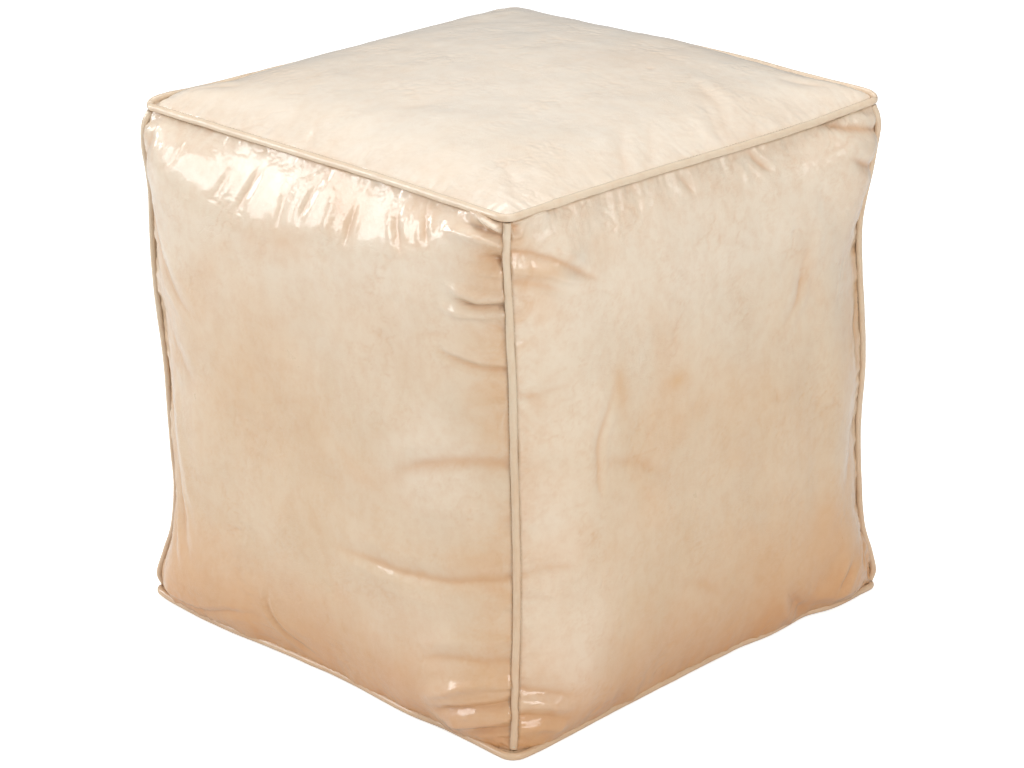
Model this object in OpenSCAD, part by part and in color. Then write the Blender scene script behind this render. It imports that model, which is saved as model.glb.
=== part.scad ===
// Square stuffed leather pouf: six goat-leather panels joined by piped seams,
// a zip across the underside and a stuffed cotton inner bag.
// Origin: centre of the base, on the floor. +Z up, the front panel faces -Y.

/* [Cover] */
// Distance between opposite lower piped edges, centre to centre
base_side = 440; // [400:5:500]
// Distance between opposite upper piped edges, centre to centre
top_side = 424; // [390:5:500]
// Height from the lower piping to the upper piping, centre to centre
seam_height = 440; // [380:5:520]
// How far each upright seam is pulled in at mid height, along the diagonal
seam_bow = 9; // [4:1:14]
// How far a side panel swells past its seams
side_bulge = 18; // [8:1:30]
// How far the top panel is crowned above its seams
top_crown = 20; // [8:1:34]
// Thickness of the leather panels
leather_t = 1.2; // [1:0.1:1.6]
// Width of leather turned in behind each seam
seam_allowance = 9; // [7:0.5:11]

/* [Piping] */
// Diameter of the cotton cord inside the piping
cord_d = 4.2; // [3.6:0.1:4.4]
// Thickness of the leather strip wrapped round the cord
wrap_t = 0.95; // [0.8:0.05:1]
// Width of the strip's flange, caught in the seam
flange_w = 9; // [6:0.5:10]
// Bend radius of the piping where it turns a corner
corner_r = 9; // [8:0.5:12]
// Diameter of the sewing thread
thread_d = 0.6; // [0.5:0.05:0.7]

/* [Zip] */
// Length of the toothed chain, stop to stop
zip_length = 300; // [240:3:312]
// Pitch of the teeth on one side
tooth_pitch = 3; // [2.5:0.5:4]
// Width of each woven tape
tape_w = 13; // [11:0.5:14]
// How far the underside is dished up round the zip
zip_recess = 8; // [8:0.5:10]
// Length of the pull tab
pull_length = 25; // [20:1:28]

/* [Filling] */
// Thickness of the cotton inner bag
bag_t = 0.6; // [0.5:0.1:1]
// Corner rounding of the stuffed bag
bag_round = 30; // [26:1:40]

/* [Hidden] */

s2 = sqrt(2);
ab = base_side / 2;              // half size at the lower piping
at = top_side / 2;               // half size at the upper piping
bead_r = cord_d / 2 + 0.05 + wrap_t;
zb = bead_r + 0.05;              // lower piping centre height
zt = zb + seam_height;           // upper piping centre height
flange_h = 2 * wrap_t;           // the flange is two layers of the strip
gap = flange_h / 2 + 0.1;        // panel face to seam plane
c1 = (bead_r + gap) / s2;        // crease, set in along the panel
c2 = (bead_r - gap) / s2;        // crease, set in across the panel
tan_t = leather_t / tan(22.5);   // inner corner of the folded leather

// ---- shape of the stuffed cube -------------------------------------------
// Swelling from seam to seam: steep at the seam, flat in the middle.
function swell(s) = pow(max(0, 1 - pow(min(1, abs(s)), 2.4)), 0.75);
function half_at(t) = ab + (at - ab) * t - seam_bow * (1 - pow(2 * t - 1, 2)) / s2;
// Moves a point of the plain box (half size ab, from zb to zt) into the cube.
function warp(p) =
    let (t = (p[2] - zb) / seam_height,
         k = half_at(max(0, min(1, t))) / ab,
         e = ab - c1,
         zn = (2 * t - 1) * seam_height / (seam_height - 2 * c1),
         hx = side_bulge * swell(p[1] / e) * swell(zn),
         hy = side_bulge * swell(p[0] / e) * swell(zn),
         hz = top_crown * swell(p[0] / e) * swell(p[1] / e))
    [p[0] * k + sign(p[0]) * pow(abs(p[0]) / ab, 3) * hx,
     p[1] * k + sign(p[1]) * pow(abs(p[1]) / ab, 3) * hy,
     p[2] + (t > 0 ? pow(t, 3) * hz : 0)];

// ---- panels -----------------------------------------------------------------
cells = 10;
N = cells + 3;                   // plus one row of turned-in leather each side
function unit(i) = i <= 1 ? -1 : i >= N - 2 ? 1 : sin(90 * (2 * (i - 1) / cells - 1));
// Local panel frame: x across, y up, z outwards. hx and hy are the half sizes
// between bead centres; z = 0 is the plane through the bead centres.
function edge_of(i) = i == 0 ? -1 : i == N - 1 ? 1 : 0;
function at_crease(i) = i <= 1 ? -1 : i >= N - 2 ? 1 : 0;
// Length of leather turned in: full along the seam, short near a corner.
function turn_in(s) = 3.6 + (seam_allowance - 3.6) * max(0, min(1, (1 - abs(s)) * 9));
function outer_pt(i, j, hx, hy, drop) =
    let (u = unit(i), v = unit(j),
         cu = at_crease(i), cv = at_crease(j),
         x = u * (hx - c1), y = v * (hy - c1),
         ein = edge_of(i), ejn = edge_of(j),
         both = (ein != 0 && cv != 0) || (ejn != 0 && cu != 0),
         L = both ? 6.4 : turn_in(ein != 0 ? v : u),
         ax = both ? -cu / sqrt(3) : -ein / s2,
         ay = both ? -cv / sqrt(3) : -ejn / s2,
         az = both ? -1 / sqrt(3) : (ein != 0 || ejn != 0) ? -1 / s2 : 0,
         corner = (cu != 0 && cv != 0) ? 1 : 0)
    [x + ax * L - corner * cu * drop, y + ay * L - corner * cv * drop, -c2 + az * L];
function inner_pt(i, j, hx, hy, drop) =
    let (o = outer_pt(i, j, hx, hy, drop),
         cu = at_crease(i), cv = at_crease(j),
         ein = edge_of(i), ejn = edge_of(j), t = leather_t,
         tip = ein != 0 || ejn != 0,
         both = (ein != 0 && cv != 0) || (ejn != 0 && cu != 0))
    both ? [o[0] - cu * 0.4714 * t, o[1] - cv * 0.4714 * t, o[2] + 0.9428 * t]
    : tip ? [o[0] - ein * t / s2, o[1] - ejn * t / s2, o[2] + t / s2]
    : [o[0] - cu * tan_t, o[1] - cv * tan_t, o[2] - t];
function quad(a, b, c, d) = [[a, b, c], [a, c, d]];
function panel_faces() = let (M = N * N) concat(
    [for (i = [0:N - 2], j = [0:N - 2])
        for (f = quad(i * N + j, i * N + j + 1, (i + 1) * N + j + 1, (i + 1) * N + j)) f],
    [for (i = [0:N - 2], j = [0:N - 2])
        for (f = quad(M + i * N + j, M + (i + 1) * N + j, M + (i + 1) * N + j + 1, M + i * N + j + 1)) f],
    [for (k = [0:N - 2])
        for (f = quad(k, M + k, M + k + 1, k + 1)) f],
    [for (k = [0:N - 2]) let (b = (N - 1) * N)
        for (f = quad(b + k, b + k + 1, M + b + k + 1, M + b + k)) f],
    [for (k = [0:N - 2])
        for (f = quad(k * N, (k + 1) * N, M + (k + 1) * N, M + k * N)) f],
    [for (k = [0:N - 2]) let (e = N - 1)
        for (f = quad(k * N + e, M + k * N + e, M + (k + 1) * N + e, (k + 1) * N + e)) f]);
// Upright panel, turned by a quarter turn about Z for each side.
function turned(p, q) = q == 0 ? p : turned([-p[1], p[0], p[2]], q - 1);
module side_panel(q) {
    zm = (zb + zt) / 2;
    pts = concat(
        [for (i = [0:N - 1], j = [0:N - 1]) let (o = outer_pt(i, j, ab, seam_height / 2, 0.8))
            turned(warp([o[0], -(ab + o[2]), zm + o[1]]), q)],
        [for (i = [0:N - 1], j = [0:N - 1]) let (o = inner_pt(i, j, ab, seam_height / 2, 0.8))
            turned(warp([o[0], -(ab + o[2]), zm + o[1]]), q)]);
    polyhedron(points = pts, faces = panel_faces());
}
module top_panel_shape() {
    pts = concat(
        [for (i = [0:N - 1], j = [0:N - 1]) let (o = outer_pt(i, j, ab, ab, 2.9))
            warp([o[0], o[1], zt + o[2]])],
        [for (i = [0:N - 1], j = [0:N - 1]) let (o = inner_pt(i, j, ab, ab, 2.9))
            warp([o[0], o[1], zt + o[2]])]);
    polyhedron(points = pts, faces = panel_faces());
}

// ---- underside --------------------------------------------------------------
// A four-sided frustum from half sizes x0, y0 at z0 to x1, y1 at z1.
module frustum(x0, y0, z0, x1, y1, z1) {
    big = max(x0, x1, y0, y1) * 2 + 20;
    intersection() {
        rotate([90, 0, 0]) translate([0, 0, -big / 2]) linear_extrude(height = big)
            polygon([[-x0, z0], [x0, z0], [x1, z1], [-x1, z1]]);
        rotate([90, 0, 90]) translate([0, 0, -big / 2]) linear_extrude(height = big)
            polygon([[-y0, z0], [y0, z0], [y1, z1], [-y1, z1]]);
    }
}
edge_in = ab - c1;               // outer edge of the underside leather
edge_z = zb + c2;                // its height at the seam
foot_in = edge_in - 14;          // where it reaches the floor
dish_x = zip_length / 2 + 26;
dish_y = 17;
dish_run = 22;                   // length of the slope round the zip
slot_y = 7.4;
slot_x = zip_length / 2 + 13;
module underside() {
    t = leather_t;
    difference() {
        union() {
            difference() {
                frustum(foot_in, foot_in, 0, edge_in, edge_in, edge_z);
                frustum(foot_in - 0.6, foot_in - 0.6, t, edge_in - 2.2, edge_in - 2.2, edge_z + 0.02);
            }
            frustum(dish_x + dish_run + 3, dish_y + dish_run + 3, 0.01, dish_x + 2, dish_y + 2, zip_recess + t);
        }
        translate([0, 0, -0.01]) frustum(dish_x + dish_run, dish_y + dish_run, 0, dish_x, dish_y, zip_recess + 0.01);
        translate([-slot_x, -slot_y, 0]) cube([2 * slot_x, 2 * slot_y, 30]);
    }
}
module bottom_half(sgn) {
    intersection() {
        underside();
        translate([-ab, sgn > 0 ? 0.1 : -ab - 0.1, -1]) cube([2 * ab, ab, 30]);
    }
}

// ---- piping -----------------------------------------------------------------
// Section of the piping: bead centre at the origin, flange towards -X.
module strip_section(fl) {
    difference() {
        union() {
            circle(r = bead_r, $fn = 48);
            if (fl > 0) translate([-bead_r - fl, -flange_h / 2]) square([bead_r + fl, flange_h]);
        }
        circle(r = cord_d / 2 + 0.05, $fn = 48);
        if (fl > 0) translate([-bead_r - fl - 1, -0.04]) square([bead_r + fl + 1, 0.08]);
    }
}
module cord_section() circle(r = cord_d / 2, $fn = 48);
// A straight run along X of length len, section turned by tilt about the run.
module run(len, tilt) rotate([90, 0, 90]) rotate([0, 0, tilt]) translate([0, 0, -len / 2])
    linear_extrude(height = len) children();
// Loop of four runs and four bends at half size h and height z. tilt is the
// angle of the bead's outward direction: 45 for the top, -45 for the base.
module loop_strip(h, z, tilt) {
    straight = 2 * (h - corner_r);
    clipped = 2 * (h - 18);
    for (q = [0:3]) rotate([0, 0, 90 * q]) {
        // the section's outward X becomes -Y here
        translate([0, -h, z]) {
            run(clipped, 180 - tilt) strip_section(flange_w);
            for (e = [-1, 1]) translate([e * (clipped + straight) / 4, 0, 0])
                run((straight - clipped) / 2, 180 - tilt) strip_section(0);
        }
        translate([h - corner_r, -(h - corner_r), z]) rotate([0, 0, -90])
            rotate_extrude(angle = 90, $fn = 96) translate([corner_r, 0]) strip_section(0);
    }
}
module loop_cord(h, z) {
    straight = 2 * (h - corner_r);
    for (q = [0:3]) rotate([0, 0, 90 * q]) {
        translate([0, -h, z]) run(straight, 0) cord_section();
        translate([h - corner_r, -(h - corner_r), z]) rotate([0, 0, -90])
            rotate_extrude(angle = 90, $fn = 96) translate([corner_r, 0]) cord_section();
    }
}
// Upright piping follows a shallow arc, pulled in at mid height.
lean = atan((ab - at) * s2 / seam_height);
chord = seam_height / cos(lean);
arc_R = (pow(chord / 2, 2) + pow(seam_bow, 2)) / (2 * seam_bow);
// Places children, an arc drawn about Z, on upright edge q.
// 0 front left, 1 front right, 2 back right, 3 back left.
module on_edge(q) rotate([0, 0, 90 * q - 135])
    translate([(ab + at) / 2 * s2 - seam_bow, 0, (zb + zt) / 2])
    rotate([0, -lean, 0]) translate([arc_R, 0, 0]) rotate([90, 0, 0]) children();
module arc(low, high) {
    a0 = asin(low / arc_R);
    a1 = asin(high / arc_R);
    rotate([0, 0, 180 - a1]) rotate_extrude(angle = a1 - a0, $fn = 240)
        translate([arc_R, 0]) mirror([1, 0]) children();
}
low_end = -chord / 2 + 2 * bead_r + 1.2;
high_end = chord / 2 - 2 * bead_r - 1.2;
module upright_strip(q) on_edge(q) arc(low_end, high_end) strip_section(flange_w);
module upright_cord(q) on_edge(q) arc(low_end, high_end) cord_section();
module upright_thread(q) on_edge(q) for (m = [-1, 1])
    arc(low_end + 6, high_end - 6) translate([-bead_r + 0.2, m * (gap + 1.3)]) circle(d = thread_d, $fn = 16);
// Seam thread of a loop: one line on each side of the bead.
module loop_thread(h, z, tilt) for (q = [0:3]) rotate([0, 0, 90 * q])
    translate([0, -h, z]) for (m = [-1, 1])
        run(2 * (h - 20), 180 - tilt) translate([-bead_r + 0.2, m * (gap + 1.3)]) circle(d = thread_d, $fn = 16);

// ---- zip --------------------------------------------------------------------
tape_t = 0.6;
tape_z = zip_recess + leather_t + 0.05;
chain_z = tape_z + tape_t / 2;
spine = 3;                       // half width of the closed chain
tooth_w = tooth_pitch * 0.43;
teeth_n = floor(zip_length / tooth_pitch) - 4;
chain_x0 = -zip_length / 2 + 5;
tape_x = zip_length / 2 + 20;
slider_x = chain_x0 + teeth_n * tooth_pitch - 1.5;
module zip_tape(sgn)
    translate([-tape_x, sgn > 0 ? spine + 0.05 : -spine - 0.05 - tape_w, tape_z])
        cube([2 * tape_x, tape_w, tape_t]);
// Front teeth reach across the middle; the back ones sit half a pitch along.
module zip_teeth(sgn) {
    shift = sgn > 0 ? tooth_pitch / 2 : 0;
    n = teeth_n;
    translate([chain_x0, 0, chain_z - 1.2]) linear_extrude(height = 2.4)
        polygon(concat(
            [[0, sgn * spine]],
            [for (i = [0:n - 1]) for (c = [[0.4, 1.9], [0.4, -0.9], [0.4 + tooth_w, -0.9], [0.4 + tooth_w, 1.9]])
                [shift + i * tooth_pitch + c[0], sgn * c[1]]],
            [[n * tooth_pitch, sgn * spine]]));
}
module zip_top_stops_shape() for (m = [-1, 1])
    translate([slider_x + 8.2, m > 0 ? 1.5 : -spine, chain_z - 1.3]) cube([3, spine - 1.5, 2.6]);
module zip_bottom_stop_shape()
    translate([chain_x0 - 4.4, -spine, chain_z - 1.4]) cube([4, 2 * spine, 2.8]);
pin_z = chain_z - 5.1;           // pull tab hinge, under the slider
module zip_slider_shape() translate([slider_x, 0, chain_z]) {
    difference() {
        union() {
            for (m = [-1, 1]) translate([0, 0, m > 0 ? 1.5 : -2.9]) linear_extrude(height = 1.4)
                polygon([[-7, -4.9], [0, -5.2], [7, -6.4], [7, 6.4], [0, 5.2], [-7, 4.9]]);
            for (m = [-1, 1], k = [-1, 1])
                translate([-7, m > 0 ? 3.5 : -4.9, k > 0 ? 0.7 : -1.55]) cube([14, 1.4, 0.85]);
            // wedge that parts the teeth
            translate([0, 0, -1.6]) linear_extrude(height = 3.2)
                polygon([[2.9, 0], [7, -1.3], [7, 1.3]]);
            // bridge for the pull tab
            translate([-4, -1.1, -6.6]) cube([8, 2.2, 3.8]);
        }
        // room for the tab's cross bar
        translate([0, 2, pin_z - chain_z]) rotate([90, 0, 0]) cylinder(r = 0.95, h = 4, $fn = 32);
    }
}
module zip_pull_shape() translate([slider_x, 0, pin_z]) {
    rotate([90, 0, 0]) translate([0, 0, -2.9]) cylinder(r = 0.87, h = 5.8, $fn = 32);
    difference() {
        union() {
            for (m = [-1, 1]) translate([-8, m > 0 ? 1.7 : -2.9, -0.6]) cube([8, 1.2, 1.2]);
            translate([0, 0, -0.6]) linear_extrude(height = 1.2)
                polygon([[-6, -2.9], [-6, 2.9], [-9, 3.6], [-pull_length + 3, 3.6], [-pull_length, 2.4],
                         [-pull_length, -2.4], [-pull_length + 3, -3.6], [-9, -3.6]]);
        }
        translate([-pull_length + 5, 0, -2]) cylinder(r = 1.6, h = 4, $fn = 32);
    }
}
module zip_thread(sgn) for (y = [9.2, 13.4])
    translate([-tape_x + 4, sgn * y, zip_recess - thread_d / 2 - 0.03]) rotate([0, 90, 0])
        cylinder(d = thread_d, h = 2 * tape_x - 8, $fn = 16);

// ---- stuffing ---------------------------------------------------------------
// Rounded box of half size h with its floor at z0 and roof at z1, lofted in
// rings of a square outline and then swollen like the cover.
ring_s = [-1, -0.92, -0.72, -0.4, 0, 0.4, 0.72, 0.92];
outline = [for (q = [0:3], s = ring_s) turned([s, -1, 0], q)];
function lim(v, m) = max(-m, min(m, v));
function round_box(p, h, zc, hz, r) =
    let (c = [lim(p[0], h - r), lim(p[1], h - r), lim(p[2] - zc, hz - r)],
         d = [p[0] - c[0], p[1] - c[1], p[2] - zc - c[2]])
    [c[0], c[1], c[2] + zc] + r * d / norm(d);
module stuffed(in, z0, z1) {
    h = ab - in;
    zc = (z0 + z1) / 2;
    hz = (z1 - z0) / 2;
    levels = concat([for (s = [0.35, 0.7, 0.9]) [s, -1]],
                    [for (s = [-1, -0.92, -0.72, -0.4, 0, 0.4, 0.72, 0.92, 1]) [1, s]],
                    [for (s = [0.9, 0.7, 0.35]) [s, 1]]);
    M = len(outline);
    K = len(levels);
    rings = [for (l = levels, o = outline)
        warp(round_box([o[0] * h * l[0], o[1] * h * l[0], zc + l[1] * hz], h, zc, hz, bag_round))];
    pts = concat(rings, [warp([0, 0, z0]), warp([0, 0, z1])]);
    difference() {
        polyhedron(points = pts, faces = concat(
            [for (k = [0:M - 1]) [K * M, k, (k + 1) % M]],
            [for (j = [0:K - 2], k = [0:M - 1])
                for (f = quad(j * M + k, (j + 1) * M + k, (j + 1) * M + (k + 1) % M, j * M + (k + 1) % M)) f],
            [for (k = [0:M - 1]) [K * M + 1, (K - 1) * M + (k + 1) % M, (K - 1) * M + k]]));
        // hollow over the zip
        frustum(dish_x + dish_run + 6 - in / 2, dish_y + dish_run + 8 - in / 2, -5,
                dish_x + 8 - in / 2, dish_y + 8 - in / 2, zip_recess + 5 + in);
    }
}
bag_gap = 4.2;

// ---- nodes ------------------------------------------------------------------
leather = [0.86, 0.73, 0.58];
strip = [0.88, 0.76, 0.62];
thread = [0.52, 0.42, 0.31];
module top_panel() color([0.92, 0.85, 0.76]) top_panel_shape();
module front_panel() color(leather) side_panel(0);
module right_panel() color(leather) side_panel(1);
module back_panel() color(leather) side_panel(2);
module left_panel() color(leather) side_panel(3);
module bottom_panel_front() color([0.74, 0.56, 0.38]) bottom_half(-1);
module bottom_panel_back() color([0.74, 0.56, 0.38]) bottom_half(1);
module top_piping() color(strip) loop_strip(at, zt, 45);
module bottom_piping() color(strip) loop_strip(ab, zb, -45);
module top_piping_cord() color("ivory") loop_cord(at, zt);
module bottom_piping_cord() color("ivory") loop_cord(ab, zb);
module top_seam_thread() color(thread) loop_thread(at, zt, 45);
module bottom_seam_thread() color(thread) loop_thread(ab, zb, -45);
module brass() color([0.71, 0.58, 0.33]) children();
module woven() color([0.78, 0.7, 0.58]) children();

top_panel();
front_panel();
right_panel();
back_panel();
left_panel();
bottom_panel_front();
bottom_panel_back();
top_piping();
bottom_piping();
color(strip) upright_strip(0);  // corner_piping_front_left
color(strip) upright_strip(1);  // corner_piping_front_right
color(strip) upright_strip(2);  // corner_piping_back_right
color(strip) upright_strip(3);  // corner_piping_back_left
top_piping_cord();
bottom_piping_cord();
color("ivory") upright_cord(0);  // corner_cord_front_left
color("ivory") upright_cord(1);  // corner_cord_front_right
color("ivory") upright_cord(2);  // corner_cord_back_right
color("ivory") upright_cord(3);  // corner_cord_back_left
top_seam_thread();
bottom_seam_thread();
color(thread) upright_thread(0);  // corner_thread_front_left
color(thread) upright_thread(1);  // corner_thread_front_right
color(thread) upright_thread(2);  // corner_thread_back_right
color(thread) upright_thread(3);  // corner_thread_back_left
woven() zip_tape(-1);  // zip_tape_front
woven() zip_tape(1);  // zip_tape_back
brass() zip_teeth(-1);  // zip_teeth_front
brass() zip_teeth(1);  // zip_teeth_back
brass() zip_top_stops_shape();  // zip_top_stops
brass() zip_bottom_stop_shape();  // zip_bottom_stop
brass() zip_slider_shape();  // zip_slider
brass() zip_pull_shape();  // zip_pull
color(thread) zip_thread(-1);  // zip_thread_front
color(thread) zip_thread(1);  // zip_thread_back
color([0.93, 0.9, 0.84]) difference() {  // inner_bag
    stuffed(bag_gap, 2.2, zt - bag_gap);
    stuffed(bag_gap + bag_t, 2.2 + bag_t, zt - bag_gap - bag_t);
}
color("white") stuffed(bag_gap + bag_t + 0.3, 3.1 + bag_t, zt - bag_gap - bag_t - 0.3);  // filling
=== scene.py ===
import math
import time

import bmesh
import bpy
import numpy as np
from mathutils import Matrix, Vector


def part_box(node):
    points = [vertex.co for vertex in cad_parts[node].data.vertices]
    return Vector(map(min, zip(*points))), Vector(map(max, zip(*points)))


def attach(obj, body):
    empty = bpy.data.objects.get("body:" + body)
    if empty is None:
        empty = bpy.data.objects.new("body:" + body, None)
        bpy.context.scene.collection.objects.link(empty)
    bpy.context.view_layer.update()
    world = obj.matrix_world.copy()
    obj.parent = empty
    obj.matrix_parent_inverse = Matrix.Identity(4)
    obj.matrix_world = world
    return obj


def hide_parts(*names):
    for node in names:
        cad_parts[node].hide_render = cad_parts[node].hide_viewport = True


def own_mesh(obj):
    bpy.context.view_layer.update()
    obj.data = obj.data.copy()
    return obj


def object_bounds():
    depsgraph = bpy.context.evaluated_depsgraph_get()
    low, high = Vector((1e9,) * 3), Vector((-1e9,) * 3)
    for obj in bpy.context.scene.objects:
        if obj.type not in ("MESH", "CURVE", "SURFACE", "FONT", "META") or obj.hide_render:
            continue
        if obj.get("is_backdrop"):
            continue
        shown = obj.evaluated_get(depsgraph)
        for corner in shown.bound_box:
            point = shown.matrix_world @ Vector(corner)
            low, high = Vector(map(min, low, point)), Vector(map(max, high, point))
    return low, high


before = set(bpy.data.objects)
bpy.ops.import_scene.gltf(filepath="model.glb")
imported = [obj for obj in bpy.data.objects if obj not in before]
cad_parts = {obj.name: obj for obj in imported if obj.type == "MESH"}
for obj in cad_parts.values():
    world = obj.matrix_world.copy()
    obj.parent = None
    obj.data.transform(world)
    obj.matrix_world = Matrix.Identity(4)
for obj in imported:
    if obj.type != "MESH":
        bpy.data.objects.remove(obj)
CAD_LO, CAD_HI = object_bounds()
T0 = time.time()


def note(text):
    print(f"[{time.time() - T0:6.1f} s] {text}")


# ------------------------------------------------------------------ sizes, in millimetres, from the frame
BEAD = 3.1
_lo, _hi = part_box("top_piping")
AT, ZT = _hi.x * 1000 - BEAD, _hi.z * 1000 - BEAD
_lo, _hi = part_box("bottom_piping")
AB, ZB = _hi.x * 1000 - BEAD, _lo.z * 1000 + BEAD
HT = ZT - ZB
C1, C2 = 2.93, 1.45          # crease beside the bead: along the panel, and in from its plane
RC = 9.0                     # bend radius of the piping at a corner
TUCK = (math.sqrt(2) - 1) * RC
S2 = math.sqrt(2)

ALONG = np.array([[1, 0, 0], [0, 1, 0], [-1, 0, 0], [0, -1, 0]], float)      # across each side, seen from outside
OUT = np.array([[0, -1, 0], [1, 0, 0], [0, 1, 0], [-1, 0, 0]], float)        # its outward direction
SIDES = ["front", "right", "back", "left"]
UP = np.array([0, 0, 1.0])


def spline(xk, yk):
    """Smooth curve through given points."""
    xk, yk = np.array(xk, float), np.array(yk, float)
    m = np.gradient(yk, xk)

    def f(x):
        x = np.clip(np.asarray(x, float), xk[0], xk[-1])
        i = np.clip(np.searchsorted(xk, x, side="right") - 1, 0, len(xk) - 2)
        h = xk[i + 1] - xk[i]
        s = (x - xk[i]) / h
        return ((2 * s**3 - 3 * s**2 + 1) * yk[i] + (s**3 - 2 * s**2 + s) * h * m[i]
                + (-2 * s**3 + 3 * s**2) * yk[i + 1] + (s**3 - s**2) * h * m[i + 1])
    return f


# How far each upright seam is drawn in along its diagonal, and pushed sideways, from foot (0) to top (1).
PULL_IN = [
    spline([0, .027, .078, .13, .184, .234, .286, .335, .388, .438, .488, .538, .588, .636, .686, .76, .83, .877, .925, .965, 1],
           [2.0, -1.4, 4.0, 11.2, 14.4, 15.4, 14, 12.8, 11.7, 10.7, 9.4, 7.4, 4.9, 3.0, 1.8, 1.2, 1.0, -.7, -3.6, -2.6, 3.0]),
    spline([0, .06, .15, .3, .5, .7, .85, .94, 1], [3.7, 5, 8, 10.5, 11, 9, 6.5, 4, 3.7]),
    spline([0, .02, .069, .12, .172, .223, .274, .325, .376, .426, .476, .525, .574, .623, .672, .72, .768, .816, .863, .91, .95, 1],
           [1.5, -.9, 2.0, 8.2, 10.9, 12.0, 12.9, 13.0, 12.2, 10.6, 9.3, 9.3, 10.1, 11.3, 12.4, 13.2, 12.2, 8.6, 4.2, .6, -2.2, 1.5]),
    spline([0, .06, .15, .3, .45, .6, .78, .9, 1], [3.7, 5, 9, 12.5, 12, 10, 7, 4, 3.7]),
]
SIDEWAYS = [
    spline([0, .2, .5, .8, 1], [0, 1.5, -0.5, 0.8, 0]),
    spline([0, .05, .1, .16, .22, .3, .36, .45, .55, .65, .72, .8, .86, .93, 1],
           [0, 1.0, 1.6, 2.4, 3.4, 4.0, 4.2, 3.8, 3.3, 2.9, 2.3, 1.2, 0.2, -0.6, 0]),
    spline([0, .25, .5, .75, 1], [0, -1.2, 0.6, -0.6, 0]),
    spline([0, .3, .6, .8, 1], [0, 1.4, -1.0, 0.6, 0]),
]
# Inward bow and height change of each side of the two loops, along the side from -1 to 1.
TOP_BOW = [
    spline([-1, -.6, -.2, .2, .6, 1], [0, 1.6, 2.2, 2.2, 1.2, 0]),
    spline([-1, -.6, -.2, .2, .6, 1], [0, 1.0, 1.2, 0.6, 0.4, 0]),
    spline([-1, -.5, 0, .5, 1], [0, 1.5, 2.5, 1.6, 0]),
    spline([-1, -.5, 0, .5, 1], [0, 1.6, 2.6, 1.8, 0]),
]
TOP_LIFT = [
    spline([-1, -.7, -.35, 0, .4, .8, 1], [0, -.4, -.6, -.2, .4, 0.1, 0]),
    spline([-1, -.6, -.2, .15, .4, .7, .9, 1], [0, -.4, -1.2, -2.4, -3.0, -2.4, -1.0, 0]),
    spline([-1, -.97, -.9, -.75, -.5, -.2, .1, .4, .7, 1], [0, 2.4, 4.8, 5.4, 6.6, 7.4, 6.0, 3.6, 1.4, 0]),
    spline([-1, -.6, 0, .5, .8, .9, .96, 1], [0, 2.0, 2.8, 2.8, 3.4, 4.4, 3.0, 0]),
]
FOOT_BOW = [
    spline([-1, -.96, -.9, -.83, -.7, -.52, -.36, -.2, -.03, .14, .31, .49, .63, .79, .94, 1],
           [0, -3.8, -7.4, -9.2, -10.2, -9.6, -7.1, -4.3, -2.5, -1.9, -3.4, -4.9, -2.3, -1.7, -1.4, 0]),
    spline([-1, -.93, -.77, -.61, -.45, -.28, -.11, .06, .24, .39, .5, .59, .72, .82, .92, 1],
           [0, -2.4, -2.6, -1.2, .2, 1.5, 2.3, 3.0, 3.3, .2, 1.6, 3.0, -3.2, -4.2, -2.0, 0]),
    spline([-1, -.5, 0, .5, 1], [0, 4.5, 6.2, 4.8, 0]),
    spline([-1, -.6, -.1, .4, .8, 1], [0, 3.2, 6.4, 5.2, 1.8, 0]),
]
FOOT_LIFT = [
    spline([-1, -.97, -.9, -.6, -.2, .3, .7, 1], [0, .6, .4, .3, .6, .5, .4, 0]),
    spline([-1, -.6, -.1, .4, .7, .9, 1], [0, .5, .8, .8, .8, .5, 0]),
    spline([-1, 0, 1], [0, 1.0, 0]),
    spline([-1, 0, 1], [0, 1.0, 0]),
]


# How far the stuffing pushes each corner of the two loops out along its diagonal, and up.
CORNER_OUT = {"top": [1.6, 0.0, 3.0, 1.0], "foot": [3.6, 2.4, 2.6, 1.0]}
CORNER_UP = {"top": [0.0, 0.0, 1.2, 0.0], "foot": [0.0, 0.0, 0.0, 0.0]}
CORNER_DIR = np.array([[-1, -1, 0], [1, -1, 0], [1, 1, 0], [-1, 1, 0]]) / S2


def upright(q, t):
    """Bead centre of upright seam q: 0 front left, 1 front right, 2 back right, 3 back left."""
    t = np.asarray(t, float)
    sx, sy = [(-1, -1), (1, -1), (1, 1), (-1, 1)][q]
    r = AB + (AT - AB) * t
    w, l = PULL_IN[q](t) / S2, SIDEWAYS[q](t) / S2
    return np.stack([sx * (r - w) - sy * l, sy * (r - w) + sx * l, ZB + HT * t], -1)


def loop_y(x, h, rc):
    """Distance of a rounded square's side from its centre, at x along the side."""
    over = np.clip(np.abs(x) - (h - rc), 0, rc * .9999)
    return h - rc + np.sqrt(rc * rc - over * over)


def loop_side(e, x, h, rc, which, height):
    """Points along side e of the top or foot loop of half size h, at x along the side."""
    x = np.asarray(x, float)
    bow, lift = (TOP_BOW[e], TOP_LIFT[e]) if which == "top" else (FOOT_BOW[e], FOOT_LIFT[e])
    y = loop_y(x, h, rc) - bow(x / h)
    P = ALONG[e] * x[..., None] + OUT[e] * y[..., None] + UP * (height + lift(x / h))[..., None]
    for q, d in ((e, h + x), ((e + 1) % 4, h - x)):
        w = np.exp(-(np.maximum(0, d) / 20.0) ** 2)[..., None]
        P = P + w * (CORNER_DIR[q] * CORNER_OUT[which][q] + UP * CORNER_UP[which][q])
    return P


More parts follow.
